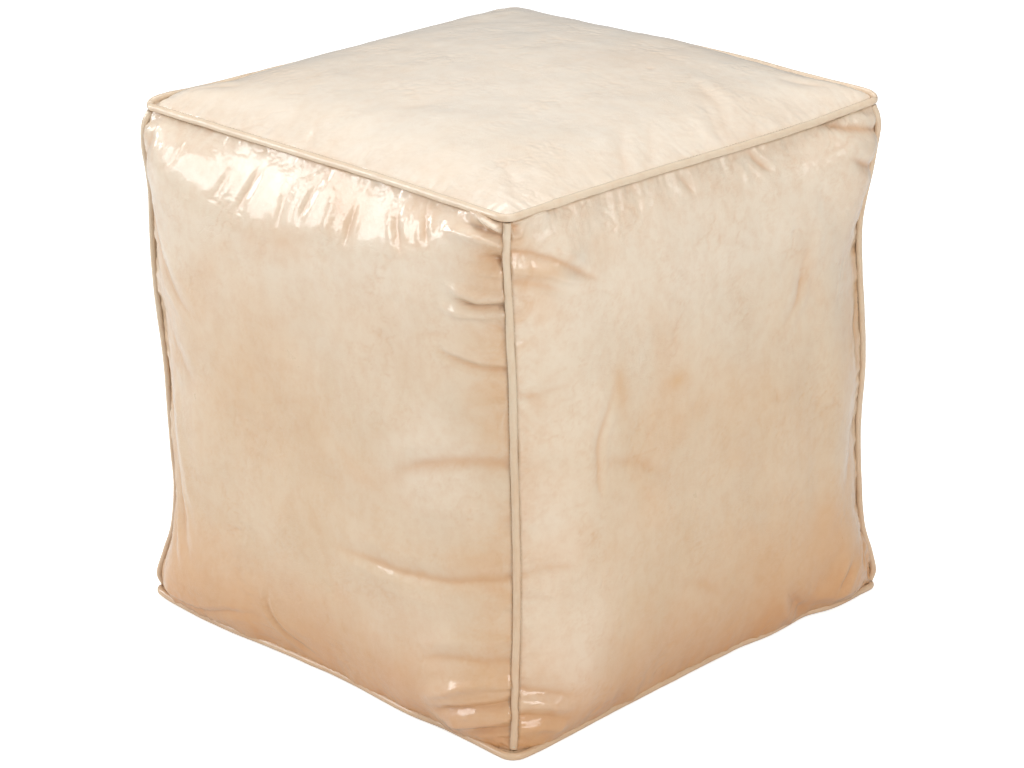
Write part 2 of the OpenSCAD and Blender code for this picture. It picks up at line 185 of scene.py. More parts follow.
# ------------------------------------------------------------------ noise
def noise2(x, y, seed):
    """Smooth gradient noise, about -0.7 to 0.7."""
    rng = np.random.default_rng(seed)
    ang = rng.random((256, 256)) * 2 * np.pi
    gx, gy = np.cos(ang), np.sin(ang)
    xi, yi = np.floor(x).astype(int), np.floor(y).astype(int)
    xf, yf = x - xi, y - yi
    u, v = xf**3 * (xf * (xf * 6 - 15) + 10), yf**3 * (yf * (yf * 6 - 15) + 10)

    def g(i, j, dx, dy):
        a, b = (xi + i) % 256, (yi + j) % 256
        return gx[a, b] * dx + gy[a, b] * dy
    n00, n10 = g(0, 0, xf, yf), g(1, 0, xf - 1, yf)
    n01, n11 = g(0, 1, xf, yf - 1), g(1, 1, xf - 1, yf - 1)
    return (n00 * (1 - u) + n10 * u) * (1 - v) + (n01 * (1 - u) + n11 * u) * v


def fractal(x, y, seed, octaves=4, gain=.5):
    total, amp = 0, 1
    for k in range(octaves):
        total = total + amp * noise2(x * 2**k + 17.3 * k, y * 2**k - 9.1 * k, seed + k)
        amp *= gain
    return total


def smooth(a, b, x):
    t = np.clip((x - a) / (b - a), 0, 1)
    return t * t * (3 - 2 * t)


# ------------------------------------------------------------------ panel surfaces
def shoulder(d, reach):
    """Rise of stuffed leather beside a seam: steep at the seam, level at reach."""
    s = np.clip(d / reach, 0, 1)
    return np.sqrt(np.maximum(0, 1 - (1 - s) ** 2.4))


def rounding(d, reach):
    """The same, as a long even curve: the rounded shoulder under the top seam and the turn-under at the foot."""
    s = np.clip(d / reach, 0, 1)
    return .30 * np.sqrt(np.maximum(0, 1 - (1 - s) ** 2.4)) + .70 * (1 - (1 - s) ** 2.1)


def patch(fb, ft, fl, fr, s, t):
    """Coons patch. fb, ft take s, fl, fr take t; s and t are the grid's parameters."""
    B, T, L, R = fb(s), ft(s), fl(t), fr(t)
    p00, p10, p01, p11 = [(a + b) / 2 for a, b in ((B[0], L[0]), (B[-1], R[0]), (T[0], L[-1]), (T[-1], R[-1]))]
    ss, tt = s[:, None], t[:, None]
    B = B + (p00 - B[0]) * (1 - ss) + (p10 - B[-1]) * ss
    T = T + (p01 - T[0]) * (1 - ss) + (p11 - T[-1]) * ss
    L = L + (p00 - L[0]) * (1 - tt) + (p01 - L[-1]) * tt
    R = R + (p10 - R[0]) * (1 - tt) + (p11 - R[-1]) * tt
    S, V = s[:, None, None], t[None, :, None]
    return ((1 - V) * B[:, None] + V * T[:, None] + (1 - S) * L[None] + S * R[None]
            - ((1 - S) * (1 - V) * p00 + S * (1 - V) * p10 + (1 - S) * V * p01 + S * V * p11))


def side_base(k, s, t):
    """Seam-to-seam surface of side panel k before it is stuffed, at parameters s (across) and t (up)."""
    N, A = OUT[k], ALONG[k]
    m = RC * (1 - 1 / S2) + C1

    def bottom(s):
        # the stuffing carries the leather out and down over the foot piping, more so between the corners
        x = (2 * s - 1) * (AB - m)
        over = smooth(0, 30, AB - m - np.abs(x))[:, None]
        return loop_side(k, x, AB, RC, "foot", ZB + C1) - N * C2 + over * (N * 4.3 - UP * 3.0)

    def top(s):
        x = (2 * s - 1) * (AT - m)
        return loop_side(k, x, AT, RC, "top", ZT - C1) - N * C2

    def lift(q, t, sign):
        tt = C1 / HT + t * (1 - 2 * C1 / HT)
        return upright(q, tt) + A * sign * C1 - N * C2
    return patch(bottom, top, lambda t: lift(k, t, 1), lambda t: lift((k + 1) % 4, t, -1), s, t)


def lobe(u, v, cu, cv, ru, rv):
    return np.exp(-(((u - cu) / ru) ** 2 + ((v - cv) / rv) ** 2))


# Swell of each side panel in mm: how proud its edges and its middle stand, and extra lobes
# (u, v, spread u, spread v, mm) where the stuffing pushes into a corner. u runs across, v up, -1 to 1.
EDGE_RISE = {"front": 16.5, "right": 14.5, "back": 14.5, "left": 15.5}
BELLY = {"front": 1.5, "right": 2.0, "back": 3.0, "left": 2.0}
LOBES = {
    "front": [(-.80, .80, .35, .22, 6.0), (.1, .86, .6, .16, 3.0), (.72, .90, .2, .1, 3.5), (-.72, -.78, .3, .2, 4.0), (.75, -.82, .25, .14, 5.0),
              (.55, .35, .3, .2, -2.5), (-.1, -.35, .7, .3, 2.5), (.72, -.1, .2, .25, -2.0)],
    "right": [(.84, .80, .26, .24, 10.0), (-.80, .84, .11, .07, 7.5), (-.25, .8, .4, .2, 1.5), (.8, -.82, .25, .15, 4.5), (-.75, -.85, .25, .14, 4.0),
              (-.6, .35, .25, .25, -2.0), (.1, -.3, .6, .35, 2.5), (.55, .1, .25, .3, -1.5)],
    "back": [(-.8, .8, .3, .22, 6.0), (.8, .82, .28, .2, 6.5), (.75, -.8, .3, .2, 4.0), (-.75, -.82, .3, .2, 4.0), (0, -.2, .6, .4, 2.0), (.3, .4, .3, .3, -2.0)],
    "left": [(-.8, .8, .28, .2, 6.0), (.82, .82, .26, .2, 8.0), (.75, -.8, .3, .2, 3.5), (-.7, -.8, .3, .2, 4.5), (.1, -.3, .6, .35, 2.5), (-.3, .3, .3, .3, -2.0)],
}


def side_surface(k, s, t):
    base = side_base(k, s, t)
    name = SIDES[k]
    u, v = (2 * s - 1)[:, None], (2 * t - 1)[None, :]
    du, dv = (1 - np.abs(u)) * 215, (1 - np.abs(v)) * 215
    top_d, foot_d = (1 - v) * 215, (1 + v) * 215
    rise = rounding(du, 52) * rounding(top_d, 78) * rounding(foot_d, 64)
    belly = (1 - np.abs(u) ** 2.2) * (1 - np.abs(v) ** 2.2)
    h = EDGE_RISE[name] * rise + BELLY[name] * np.maximum(0, belly) ** .9
    for cu, cv, ru, rv, mm in LOBES[name]:
        h = h + mm * lobe(u, v, cu, cv, ru, rv) * shoulder(du, 26) * shoulder(dv, 26)
    # the stuffing settles: the swell hangs a little low, and the leather turns under at the foot
    return base + OUT[k] * h[..., None] - UP * (1.2 * rise * (1 - v * v))[..., None]


TOP_LOBES = [(-.1, .1, .6, .6, 4.0), (.78, .75, .3, .3, -3.0), (-.8, -.8, .25, .25, -2.5), (.85, -.85, .2, .2, -1.0), (.5, -.2, .3, .3, -1.0)]


def top_surface(s, t):
    """Top panel; s runs along +X, t along +Y."""
    h = AT - C1
    rc = RC - C1
    m = rc * (1 - 1 / S2)

    def edge(e, f, flip):
        def g(s):
            x = (2 * s - 1) * (h - m) * flip
            return loop_side(e, x, h, rc, "top", ZT - C2)
        return g
    base = patch(edge(0, 0, 1), edge(2, 0, -1), edge(3, 0, -1), edge(1, 0, 1), s, t)
    u, v = (2 * s - 1)[:, None], (2 * t - 1)[None, :]
    du, dv = (1 - np.abs(u)) * 209, (1 - np.abs(v)) * 209
    reach = 36 + 44 * np.exp(-(np.hypot((1 - u) * 209, (1 + v) * 209) / 75) ** 2)
    rise = shoulder(du, reach) * shoulder(dv, reach)
    belly = np.maximum(0, (1 - np.abs(u) ** 2.4) * (1 - np.abs(v) ** 2.4))
    z = 12.5 * rise + 8.0 * belly ** .85
    for cu, cv, ru, rv, mm in TOP_LOBES:
        z = z + mm * lobe(u, v, cu, cv, ru, rv) * rise
    return base + UP * z[..., None]


FLOOR_RUN = 22.0             # the underside leather reaches the floor this far in from the seam
DISH_X, DISH_Y, DISH_RUN, DISH_H = 176.0, 17.0, 22.0, 8.0
SLOT_Y = 7.4


def underside(sgn, s, t):
    """Half of the underside on the side y*sgn > 0. s runs along X, t from the zip (0) to the outer seam (1)."""
    h = AB - C1
    rc = RC - C1
    m = rc * (1 - 1 / S2)
    e = 2 if sgn > 0 else 0
    x = (2 * s - 1) * (h - m)

    def outer(s):
        x = (2 * s - 1) * (h - m) * (-1 if sgn > 0 else 1)
        return loop_side(e, x, h, rc, "foot", ZB + C2)

    def inner(s):
        y = np.where(np.abs(x) < 163, SLOT_Y, SLOT_Y - (SLOT_Y - .15) * smooth(163, 169, np.abs(x)))
        return np.stack([x * (h / (h - m)) * np.where(np.abs(x) > 200, 1, 1), sgn * y, np.full_like(x, ZB + C2)], -1)

    def end(ee):
        # from the zip line out along the side seam
        def g(t):
            y = sgn * (.15 + (h - m - .15) * t)
            xx = y * (1 if ee == 1 else -1)
            return loop_side(ee, xx, h, rc, "foot", ZB + C2)
        return g
    return patch(inner, outer, end(3), end(1), s, t)


# ------------------------------------------------------------------ folds, listed one by one
# (points across/up in mm, height mm, half width on each side mm, taper at the ends 0..1)
FOLDS = {
    "front": [
        ([(160, 441), (184, 438), (204, 434), (216, 431)], 5.6, 6.0, 4.4, .35),
        ([(148, 424), (176, 424), (200, 423), (216, 420)], 4.6, 6.0, 4.0, .4),
        ([(170, 432), (196, 430), (214, 427)], -3.4, 3.0, 3.0, .4),
        ([(184, 412), (204, 409), (216, 405)], -4.2, 5.0, 5.0, .5),
        ([(178, 400), (198, 398), (216, 394)], 1.6, 6.0, 5.0, .5),
        ([(156, 384), (180, 380), (200, 380), (216, 383)], 3.6, 3.6, 4.2, .35),
        ([(164, 375), (186, 371), (216, 372)], -2.8, 2.6, 2.6, .4),
        ([(150, 366), (176, 364), (200, 365), (216, 369)], 3.0, 3.6, 5.0, .35),
        ([(140, 335), (165, 326), (190, 321), (216, 322)], -2.0, 3.0, 3.6, .5),
        ([(150, 345), (180, 336), (216, 336)], .9, 7, 7, .5),
        ([(120, 330), (150, 342), (180, 345)], -.7, 5, 5, .6),
        ([(90, 205), (125, 226), (165, 240), (212, 246)], -1.6, 9.0, 10.0, .5),
        ([(105, 180), (150, 196), (200, 210)], 1.4, 12.0, 12.0, .5),
        ([(20, 132), (80, 134), (140, 137), (212, 150)], -1.5, 8.0, 5.0, .4),
        ([(60, 118), (120, 118), (200, 128)], 1.2, 10.0, 10.0, .5),
        ([(128, 26), (160, 45), (190, 58), (216, 62)], 3.4, 6.0, 4.0, .4),
        ([(140, 20), (172, 34), (216, 48)], -2.6, 3.6, 3.6, .4),
        ([(150, 12), (178, 22), (216, 36)], 3.0, 5.5, 4.0, .4),
        ([(176, 12), (196, 20), (216, 26)], -2.0, 3.0, 3.0, .4),
        ([(120, 60), (165, 76), (216, 82)], -1.2, 6.0, 6.0, .5),
        ([(140, 86), (180, 94), (216, 97)], .9, 6.0, 6.0, .5),
        ([(-200, 12), (-150, 12), (-105, 27), (-55, 40)], -1.2, 3.0, 4.0, .35),
        ([(-45, 76), (-50, 52), (-44, 36), (-25, 22), (10, 10)], -1.3, 3.4, 3.4, .35),
        ([(-60, 30), (-20, 36), (30, 28)], 1.4, 12, 10, .5),
        ([(-206, 215), (-190, 170), (-176, 130), (-160, 84), (-140, 50)], -1.9, 6.0, 8.0, .4),
        ([(-196, 260), (-180, 210), (-166, 165), (-148, 118), (-126, 70)], 1.6, 9.0, 9.0, .45),
        ([(-208, 150), (-194, 110), (-180, 75), (-160, 42)], -1.5, 5.0, 5.0, .45),
        ([(-200, 345), (-178, 316), (-150, 292), (-120, 282)], -1.3, 8.0, 6.0, .5),
        ([(-190, 280), (-160, 240), (-130, 215)], -.8, 9.0, 9.0, .5),
        ([(-60, 432), (-68, 408), (-78, 384)], -.9, 5.0, 3.4, .4),
        ([(-88, 428), (-98, 404), (-112, 386)], -.5, 4.0, 4.0, .4),
        ([(-20, 430), (-26, 404), (-30, 380)], -.6, 5.0, 5.0, .4),
        ([(10, 436), (0, 410), (-6, 390)], -.8, 4.4, 3.2, .4),
        ([(30, 430), (28, 405), (26, 380)], .7, 7.0, 5.0, .4),
        ([(56, 430), (52, 404), (50, 384)], -.9, 4.0, 3.2, .4),
        ([(96, 432), (104, 414), (116, 398)], -1.0, 5.0, 4.0, .4),
        ([(128, 436), (134, 420), (142, 408)], -1.2, 3.6, 3.0, .4),
        ([(-150, 432), (-160, 412), (-176, 398)], -.5, 5.0, 5.0, .4),
        ([(-190, 436), (-196, 420), (-206, 404)], -.8, 5.0, 4.0, .4),
        ([(-206, 424), (-190, 430), (-170, 434)], 1.2, 5.0, 5.0, .4),
    ],
    "right": [
        ([(-214, 434), (-200, 440), (-182, 440), (-160, 432)], 4.6, 7.0, 6.0, .3),
        ([(-216, 428), (-196, 426), (-176, 418)], 1.4, 5.0, 5.0, .4),
        ([(-216, 440), (-208, 438), (-202, 434)], -3.0, 3.6, 3.6, .3),
        ([(-216, 414), (-196, 414), (-172, 404), (-146, 388), (-120, 374)], -1.5, 3.6, 5.0, .35),
        ([(-216, 402), (-186, 396), (-150, 384), (-116, 378)], 1.3, 4.0, 5.0, .4),
        ([(-216, 392), (-190, 388), (-156, 374)], -.9, 5.0, 4.0, .4),
        ([(-118, 300), (-124, 275), (-136, 250), (-138, 215), (-134, 190)], -1.0, 4.0, 5.0, .4),
        ([(-210, 300), (-180, 300), (-150, 306)], -.7, 5.0, 5.0, .5),
        ([(-216, 60), (-190, 54), (-160, 40)], -1.4, 5.0, 5.0, .4),
        ([(-216, 44), (-196, 44), (-168, 34)], 2.2, 6.0, 4.0, .4),
        ([(-216, 36), (-196, 33), (-172, 24)], -1.6, 4.0, 4.0, .4),
        ([(-212, 24), (-190, 22), (-168, 12)], 1.8, 5.0, 5.0, .4),
        ([(86, 50), (104, 30), (118, 16), (128, 4)], -2.6, 7.0, 7.0, .3),
        ([(120, 40), (140, 24), (166, 18), (190, 22)], 2.6, 9.0, 7.0, .4),
        ([(176, 52), (164, 34), (150, 14)], -1.7, 5.0, 4.0, .4),
        ([(200, 46), (204, 30), (214, 16)], -1.8, 4.0, 4.0, .3),
        ([(206, 60), (196, 46), (188, 30)], -1.2, 4.0, 4.0, .4),
        ([(138, 440), (160, 434), (184, 428), (212, 420)], -1.8, 4.0, 6.0, .35),
        ([(150, 424), (172, 414), (206, 404)], 1.6, 6.0, 6.0, .4),
        ([(156, 412), (180, 400), (208, 388)], -1.6, 4.0, 6.0, .4),
        ([(-28, 440), (-20, 426), (-12, 414)], -.9, 4.0, 4.0, .4),
        ([(54, 440), (66, 424), (80, 412)], -1.3, 3.4, 4.0, .4),
        ([(40, 436), (46, 420), (52, 404)], .7, 5.0, 5.0, .4),
        ([(108, 350), (104, 322), (96, 300), (70, 276)], -1.1, 5.0, 7.0, .5),
        ([(128, 372), (122, 340), (124, 310)], .9, 8.0, 8.0, .5),
        ([(-40, 180), (-70, 205), (-110, 226), (-150, 236)], -.9, 9.0, 9.0, .5),
        ([(20, 60), (-20, 90), (-60, 104)], -.9, 9.0, 9.0, .5),
        ([(60, 110), (30, 130), (-10, 140)], .9, 12, 12, .5),
        ([(-216, 150), (-180, 156), (-150, 150)], -.8, 6.0, 6.0, .5),
        ([(204, 300), (196, 250), (198, 200)], -1.2, 7.0, 7.0, .5),
        ([(190, 180), (176, 130), (160, 100)], -1.0, 9.0, 9.0, .5),
    ],
    "back": [
        ([(-214, 430), (-190, 434), (-160, 428)], 2.4, 5.0, 4.0, .4), ([(-214, 400), (-180, 396), (-150, 400)], -1.6, 4.0, 4.0, .4),
        ([(214, 436), (190, 430), (166, 434)], 2.6, 5.0, 5.0, .4), ([(214, 380), (186, 372), (150, 376)], -1.8, 4.0, 5.0, .4),
        ([(214, 360), (180, 356), (150, 362)], 1.6, 4.0, 4.0, .4), ([(-60, 432), (-70, 404), (-84, 382)], -1.3, 5.0, 4.0, .4),
        ([(20, 434), (14, 408), (6, 386)], -1.2, 4.0, 5.0, .4), ([(90, 434), (96, 410), (108, 394)], -1.1, 5.0, 4.0, .4),
        ([(-214, 44), (-180, 40), (-150, 24)], 2.4, 5.0, 4.0, .4), ([(214, 60), (176, 44), (140, 30)], -2.0, 4.0, 5.0, .4),
        ([(214, 46), (180, 28), (150, 16)], 2.2, 5.0, 4.0, .4), ([(-120, 210), (-60, 226), (0, 220)], -1.2, 9.0, 9.0, .5),
        ([(60, 150), (110, 140), (170, 150)], -1.2, 8.0, 8.0, .5), ([(-20, 20), (10, 44), (60, 56)], -1.2, 5.0, 4.0, .4),
    ],
    "left": [
        ([(214, 434), (190, 438), (160, 430)], 2.8, 5.0, 4.0, .4), ([(214, 404), (184, 402), (150, 398)], -1.8, 4.0, 4.0, .4),
        ([(214, 388), (184, 384), (156, 388)], 1.6, 4.0, 5.0, .4), ([(-214, 436), (-190, 430), (-170, 432)], 2.2, 5.0, 5.0, .4),
        ([(-214, 396), (-186, 392), (-150, 400)], -1.4, 4.0, 5.0, .4), ([(-20, 434), (-26, 408), (-36, 386)], -1.3, 4.0, 5.0, .4),
        ([(60, 434), (58, 408), (66, 388)], -1.2, 5.0, 4.0, .4), ([(-100, 432), (-104, 410), (-118, 392)], -1.0, 4.0, 4.0, .4),
        ([(214, 52), (180, 40), (150, 22)], 2.4, 5.0, 4.0, .4), ([(-214, 60), (-180, 44), (-150, 36)], -1.8, 5.0, 4.0, .4),
        ([(-214, 40), (-180, 26), (-150, 18)], 2.0, 5.0, 4.0, .4), ([(100, 190), (150, 214), (206, 226)], -1.4, 9.0, 9.0, .5),
        ([(-150, 160), (-90, 150), (-30, 156)], -1.1, 8.0, 8.0, .5), ([(-10, 18), (30, 40), (80, 46)], -1.2, 5.0, 4.0, .4),
    ],
    "top": [
        ([(110, 88), (140, 78), (172, 64), (200, 44)], -1.1, 7.0, 9.0, .45), ([(130, 104), (160, 88), (194, 66)], .9, 10.0, 10.0, .5),
        ([(150, 66), (180, 46), (206, 32)], -.9, 5.0, 6.0, .4), ([(150, -24), (176, -52), (204, -78)], -1.1, 5.0, 8.0, .45),
        ([(156, 0), (184, -28), (206, -50)], -.8, 6.0, 6.0, .45), ([(120, -10), (150, -40), (186, -84)], .7, 10.0, 10.0, .5),
        ([(-12, -206), (-26, -192), (-40, -176)], -.9, 3.4, 4.6, .4), ([(-52, -204), (-60, -180), (-80, -150)], -.7, 8.0, 8.0, .5),
        ([(-20, -150), (20, -120), (40, -80)], -.6, 12.0, 12.0, .5), ([(196, 196), (176, 170), (150, 150)], -1.6, 7.0, 7.0, .4),
        ([(-196, -196), (-170, -176), (-140, -160)], -1.4, 7.0, 7.0, .4), ([(196, -190), (170, -168), (140, -150)], -1.2, 7.0, 7.0, .4),
        ([(-196, 190), (-170, 170), (-140, 160)], -1.4, 7.0, 7.0, .4), ([(-206, 20), (-180, 10), (-150, 16)], -.8, 6.0, 6.0, .5),
        ([(-30, 206), (-20, 180), (-30, 150)], -.8, 6.0, 6.0, .5),
    ],
}


# Where the leather is warmer and darker (above 0) or paler (below 0), mostly the hide's own dye, in a few places
# painted shade: (mm across, mm up, spread, spread, amount).
TONES = {
    "front": [(150, 235, 60, 55, -.55), (140, 100, 60, 40, -.3), (-180, 60, 60, 60, .45), (-60, 30, 90, 26, .35), (-40, 250, 60, 80, .2),
              # at 196 mm across, beside the near upright: painted shade where the panel turns away from the light, and
              # a painted shadow under the top folds
              (196, 300, 22, 50, .35), (120, 320, 80, 60, .24), (-100, 260, 110, 90, .26), (160, 26, 60, 24, -.15), (196, 405, 24, 24, .5), (-196, 200, 26, 70, .25)],
    "right": [(-178, 205, 48, 110, -.5), (-170, 80, 46, 60, -.4), (-20, 385, 130, 40, -.45), (150, 400, 60, 40, -.3), (120, 80, 110, 60, .5),
              # at 188 mm across, beside the back upright: painted shade where the panel turns away from the light
              (60, 215, 70, 50, .25), (188, 230, 30, 100, .4), (-112, 286, 9, 24, .7), (-50, 273, 13, 9, .7), (-20, 250, 60, 30, .2),
              (-205, 425, 16, 14, .5), (-184, 396, 34, 13, .6), (-190, 22, 60, 16, .3)],
    "back": [(-120, 240, 60, 90, -.5), (60, 330, 90, 50, -.4), (120, 70, 110, 50, .5), (-150, 60, 60, 50, .3), (10, 190, 50, 40, .3), (180, 250, 30, 90, .35)],
    "left": [(140, 250, 60, 90, -.5), (-60, 340, 90, 50, -.4), (-120, 80, 100, 50, .5), (120, 60, 60, 40, .35), (-20, 200, 50, 50, .3), (-190, 220, 26, 90, .35)],
    "top": [(60, -60, 110, 80, -.4), (-90, 80, 90, 70, -.3), (150, 60, 40, 40, .25), (-130, -140, 60, 50, .25), (40, 150, 60, 40, .2), (150, -130, 70, 60, .35)],
}


def tone_field(name, X, Z):
    wx, wz = 22 * noise2(X / 60, Z / 60, 61), 22 * noise2(X / 60, Z / 60, 62)
    t = np.zeros(X.shape)
    for cx, cz_, rx, rz, amount in TONES[name]:
        k = min(1, min(rx, rz) / 40)
        t += amount * np.exp(-(((X + wx * k - cx) / rx) ** 2 + ((Z + wz * k - cz_) / rz) ** 2))
    return np.clip(t + .10 * fractal(X / 45, Z / 45, 63, 3), -1, 1)


def polyline_field(X, Z, pts):
    """Signed distance to a smooth curve through pts and the fraction along it."""
    pts = np.array(pts, float)
    tk = np.linspace(0, 1, len(pts))
    tt = np.linspace(0, 1, 40)
    cx, cz = spline(tk, pts[:, 0])(tt), spline(tk, pts[:, 1])(tt)
    best = np.full(X.shape, 1e9)
    sgn, frac = np.zeros(X.shape), np.zeros(X.shape)
    for i in range(len(tt) - 1):
        ax, az, bx, bz = cx[i], cz[i], cx[i + 1], cz[i + 1]
        dx, dz = bx - ax, bz - az
        L2 = dx * dx + dz * dz
        w = np.clip(((X - ax) * dx + (Z - az) * dz) / L2, 0, 1)
        ex, ez = X - ax - w * dx, Z - az - w * dz
        d = np.hypot(ex, ez)
        m = d < best
        best = np.where(m, d, best)
        sgn = np.where(m, np.sign(dx * ez - dz * ex), sgn)
        frac = np.where(m, (i + w) / (len(tt) - 1), frac)
    return best * np.where(sgn == 0, 1, sgn), frac


def folds_height(name, X, Z):
    h, crease = np.zeros(X.shape), np.zeros(X.shape)
    # the folds wander a little
    wx = 1.6 * noise2(X / 22, Z / 22, 91) + .6 * noise2(X / 7, Z / 7, 92)
    wz = 1.6 * noise2(X / 22, Z / 22, 93) + .6 * noise2(X / 7, Z / 7, 94)
    for pts, mm, wa, wb, taper in FOLDS[name]:
        mm = mm * (1.45 if name != "top" else .75)
        reach = 4 * max(wa, wb)
        px = [p[0] for p in pts]
        pz = [p[1] for p in pts]
        box = ((X > min(px) - reach) & (X < max(px) + reach) & (Z > min(pz) - reach) & (Z < max(pz) + reach))
        if not box.any():
            continue
        ii, jj = np.where(box)
        a, b, c, d = ii.min(), ii.max() + 1, jj.min(), jj.max() + 1
        sub = (slice(a, b), slice(c, d))
        D, f = polyline_field(X[sub] + wx[sub], Z[sub] + wz[sub], pts)
        w = np.where(D > 0, wa, wb)
        q = np.abs(D) / w
        prof = np.exp(-q ** 1.7)
        if mm < 0:
            # a crease: narrow valley with leather raised beside it
            prof = np.exp(-(q * 1.25) ** 1.5) - .32 * np.exp(-((q - 1.9) / .75) ** 2)
        ends = smooth(0, taper, f) if pts[0][0] > -200 and abs(pts[0][0]) < 206 else np.ones_like(f)
        ends = ends * (smooth(0, taper, 1 - f) if abs(pts[-1][0]) < 200 else 1)
        var = 1 + .35 * noise2(f * 5 + 3.1, np.full_like(f, mm), 95)
        h[sub] += mm * prof * ends * var
        if mm < 0:
            crease[sub] = np.maximum(crease[sub], min(1, -mm / 2.2) * np.exp(-(q * 1.8) ** 2) * ends)
    return h, crease


def pleats(along, dist, length, seed, pitch, mm, reach):
    """Little gathers square to a seam: along is the place along it, dist the distance from it."""
    rng = np.random.default_rng(seed)
    h = np.zeros(along.shape)
    x = -length / 2 + pitch * .5
    while x < length / 2:
        a = mm * (.35 + rng.random() * .95) * rng.choice([-1, -1, 1])
        r = reach * (.4 + 1.2 * rng.random())
        w = pitch * (.22 + .18 * rng.random())
        lean = rng.normal(0, .12)
        m = np.abs(along - x - lean * dist) < 4 * w
        h = h + np.where(m, a * np.exp(-((along - x - lean * dist) / w) ** 2) * np.exp(-(dist / r) ** 1.4) * smooth(0, 1.2, dist), 0)
        x += pitch * (.7 + .7 * rng.random())
    return h


def detail(name, X, Z, dl, dr, db, dt, seed):
    """Height in mm of everything finer than the stuffing's own form, and how creased each point is.
    dl, dr, db, dt are the distances to the left, right, bottom and top seams."""
    h, crease = folds_height(name, X, Z)
    half = 215.0
    zc = Z - HT / 2 if name != "top" else Z
    near = np.minimum(np.minimum(dl, dr), np.minimum(db, dt))
    for i, (al, dd) in enumerate(((zc, dl), (zc, dr), (X, db), (X, dt))):
        up = 1.5 if i < 2 and name != "top" else .8 if name == "top" else 1.0
        h += pleats(al, dd, 2 * half, seed + 10 + i, 9.0, .60 * up, 11.0)
        h += pleats(al, dd, 2 * half, seed + 20 + i, 30.0, (.5 if i == 3 else 1.0) * up, 26.0)
        h += pleats(al, dd, 2 * half, seed + 30 + i, 4.2, .36 * up, 6.0)
        h += pleats(al, dd, 2 * half, seed + 35 + i, 6.5, .20 * up, 26.0)
    # slow unevenness of the stuffing under thin leather
    h += 1.15 * fractal(X / 95, Z / 95, seed + 1, 3, .5)
    h += .55 * fractal(X / 34, Z / 34, seed + 2, 2, .45)
    # soft creases of the skin: thin lines where noise crosses zero, grouped in patches
    warp_x = X + 9 * noise2(X / 38, Z / 38, seed + 3)
    warp_z = Z + 9 * noise2(X / 38, Z / 38, seed + 4)
    line = fractal(warp_x / 26, warp_z / 15, seed + 5, 2, .5)
    where = smooth(.05, .5, fractal(X / 60, Z / 60, seed + 6, 2))
    c = np.exp(-(line / .045) ** 2) * where
    h -= .40 * c
    line2 = fractal(warp_x / 9, warp_z / 4.2, seed + 7, 2, .5)
    where2 = smooth(.02, .4, fractal(X / 42 + 5, Z / 42, seed + 8, 2)) + .6 * np.exp(-near / 22)
    c2 = np.exp(-(line2 / .09) ** 2) * np.clip(where2, 0, 1)
    h -= .24 * c2
    # dry crinkling in patches, worst on the rounded shoulders and by the uprights
    tight = fractal(warp_x / 6.5, warp_z / 6.5, seed + 12, 3, .6)
    where3 = np.clip(smooth(.1, .55, fractal(X / 50 + 9, Z / 50 + 4, seed + 13, 2)) + .5 * np.exp(-near / 30), 0, 1)
    h += .46 * tight * where3
    crease = np.clip(crease + .45 * c + .25 * c2, 0, 1)
    return h * smooth(0, 2.5, near), crease * smooth(0, 2.0, near)


# ------------------------------------------------------------------ mesh helpers
def spacing(n, crowd=.55):
    """n parameters from 0 to 1, closer together near both ends."""
    x = np.linspace(-1, 1, n)
    return ((1 - crowd) * x + crowd * np.sin(x * np.pi / 2)) / 2 + .5


def grid_faces(n, m, flip=False, start=0):
    i, j = np.meshgrid(np.arange(n - 1), np.arange(m - 1), indexing="ij")
    a = start + (i * m + j).ravel()
    b, c, d = a + m, a + m + 1, a + 1
    return np.stack([a, d, c, b] if flip else [a, b, c, d], -1)


def make_object(name, verts_mm, faces, attributes=None, smooth_shade=True):
    mesh = bpy.data.meshes.new(name)
    verts = np.asarray(verts_mm, np.float32).reshape(-1, 3) * .001
    if isinstance(faces, np.ndarray):
        faces = [faces]
    total = sum(len(f) for f in faces)
    loops = np.concatenate([np.asarray(f, np.int32).ravel() for f in faces if len(f)])
    sizes = np.concatenate([np.full(len(f), np.asarray(f).shape[1], np.int32) for f in faces if len(f)])
    mesh.vertices.add(len(verts))
    mesh.vertices.foreach_set("co", verts.ravel())
    mesh.loops.add(len(loops))
    mesh.loops.foreach_set("vertex_index", loops)
    mesh.polygons.add(total)
    mesh.polygons.foreach_set("loop_start", np.concatenate([[0], np.cumsum(sizes)[:-1]]).astype(np.int32))
    mesh.polygons.foreach_set("loop_total", sizes)
    mesh.polygons.foreach_set("use_smooth", np.full(total, smooth_shade))
    mesh.update(calc_edges=True)
    mesh.validate()
    for key, values in (attributes or {}).items():
        a = mesh.attributes.new(key, "FLOAT", "POINT")
        a.data.foreach_set("value", np.asarray(values, np.float32).ravel())
    o = bpy.data.objects.new(name, mesh)
    bpy.context.scene.collection.objects.link(o)
    return o


def normals_of(P):
    gu, gv = np.gradient(P, axis=0), np.gradient(P, axis=1)
    n = np.cross(gu, gv)
    return n / np.maximum(1e-9, np.linalg.norm(n, axis=-1, keepdims=True))


def perimeter(n, m):
    """Indices of a grid's edge, once round, from (0, 0) along i."""
    a = [(i, 0) for i in range(n - 1)] + [(n - 1, j) for j in range(m - 1)]
    a += [(i, m - 1) for i in range(n - 1, 0, -1)] + [(0, j) for j in range(m - 1, 0, -1)]
    return np.array(a)


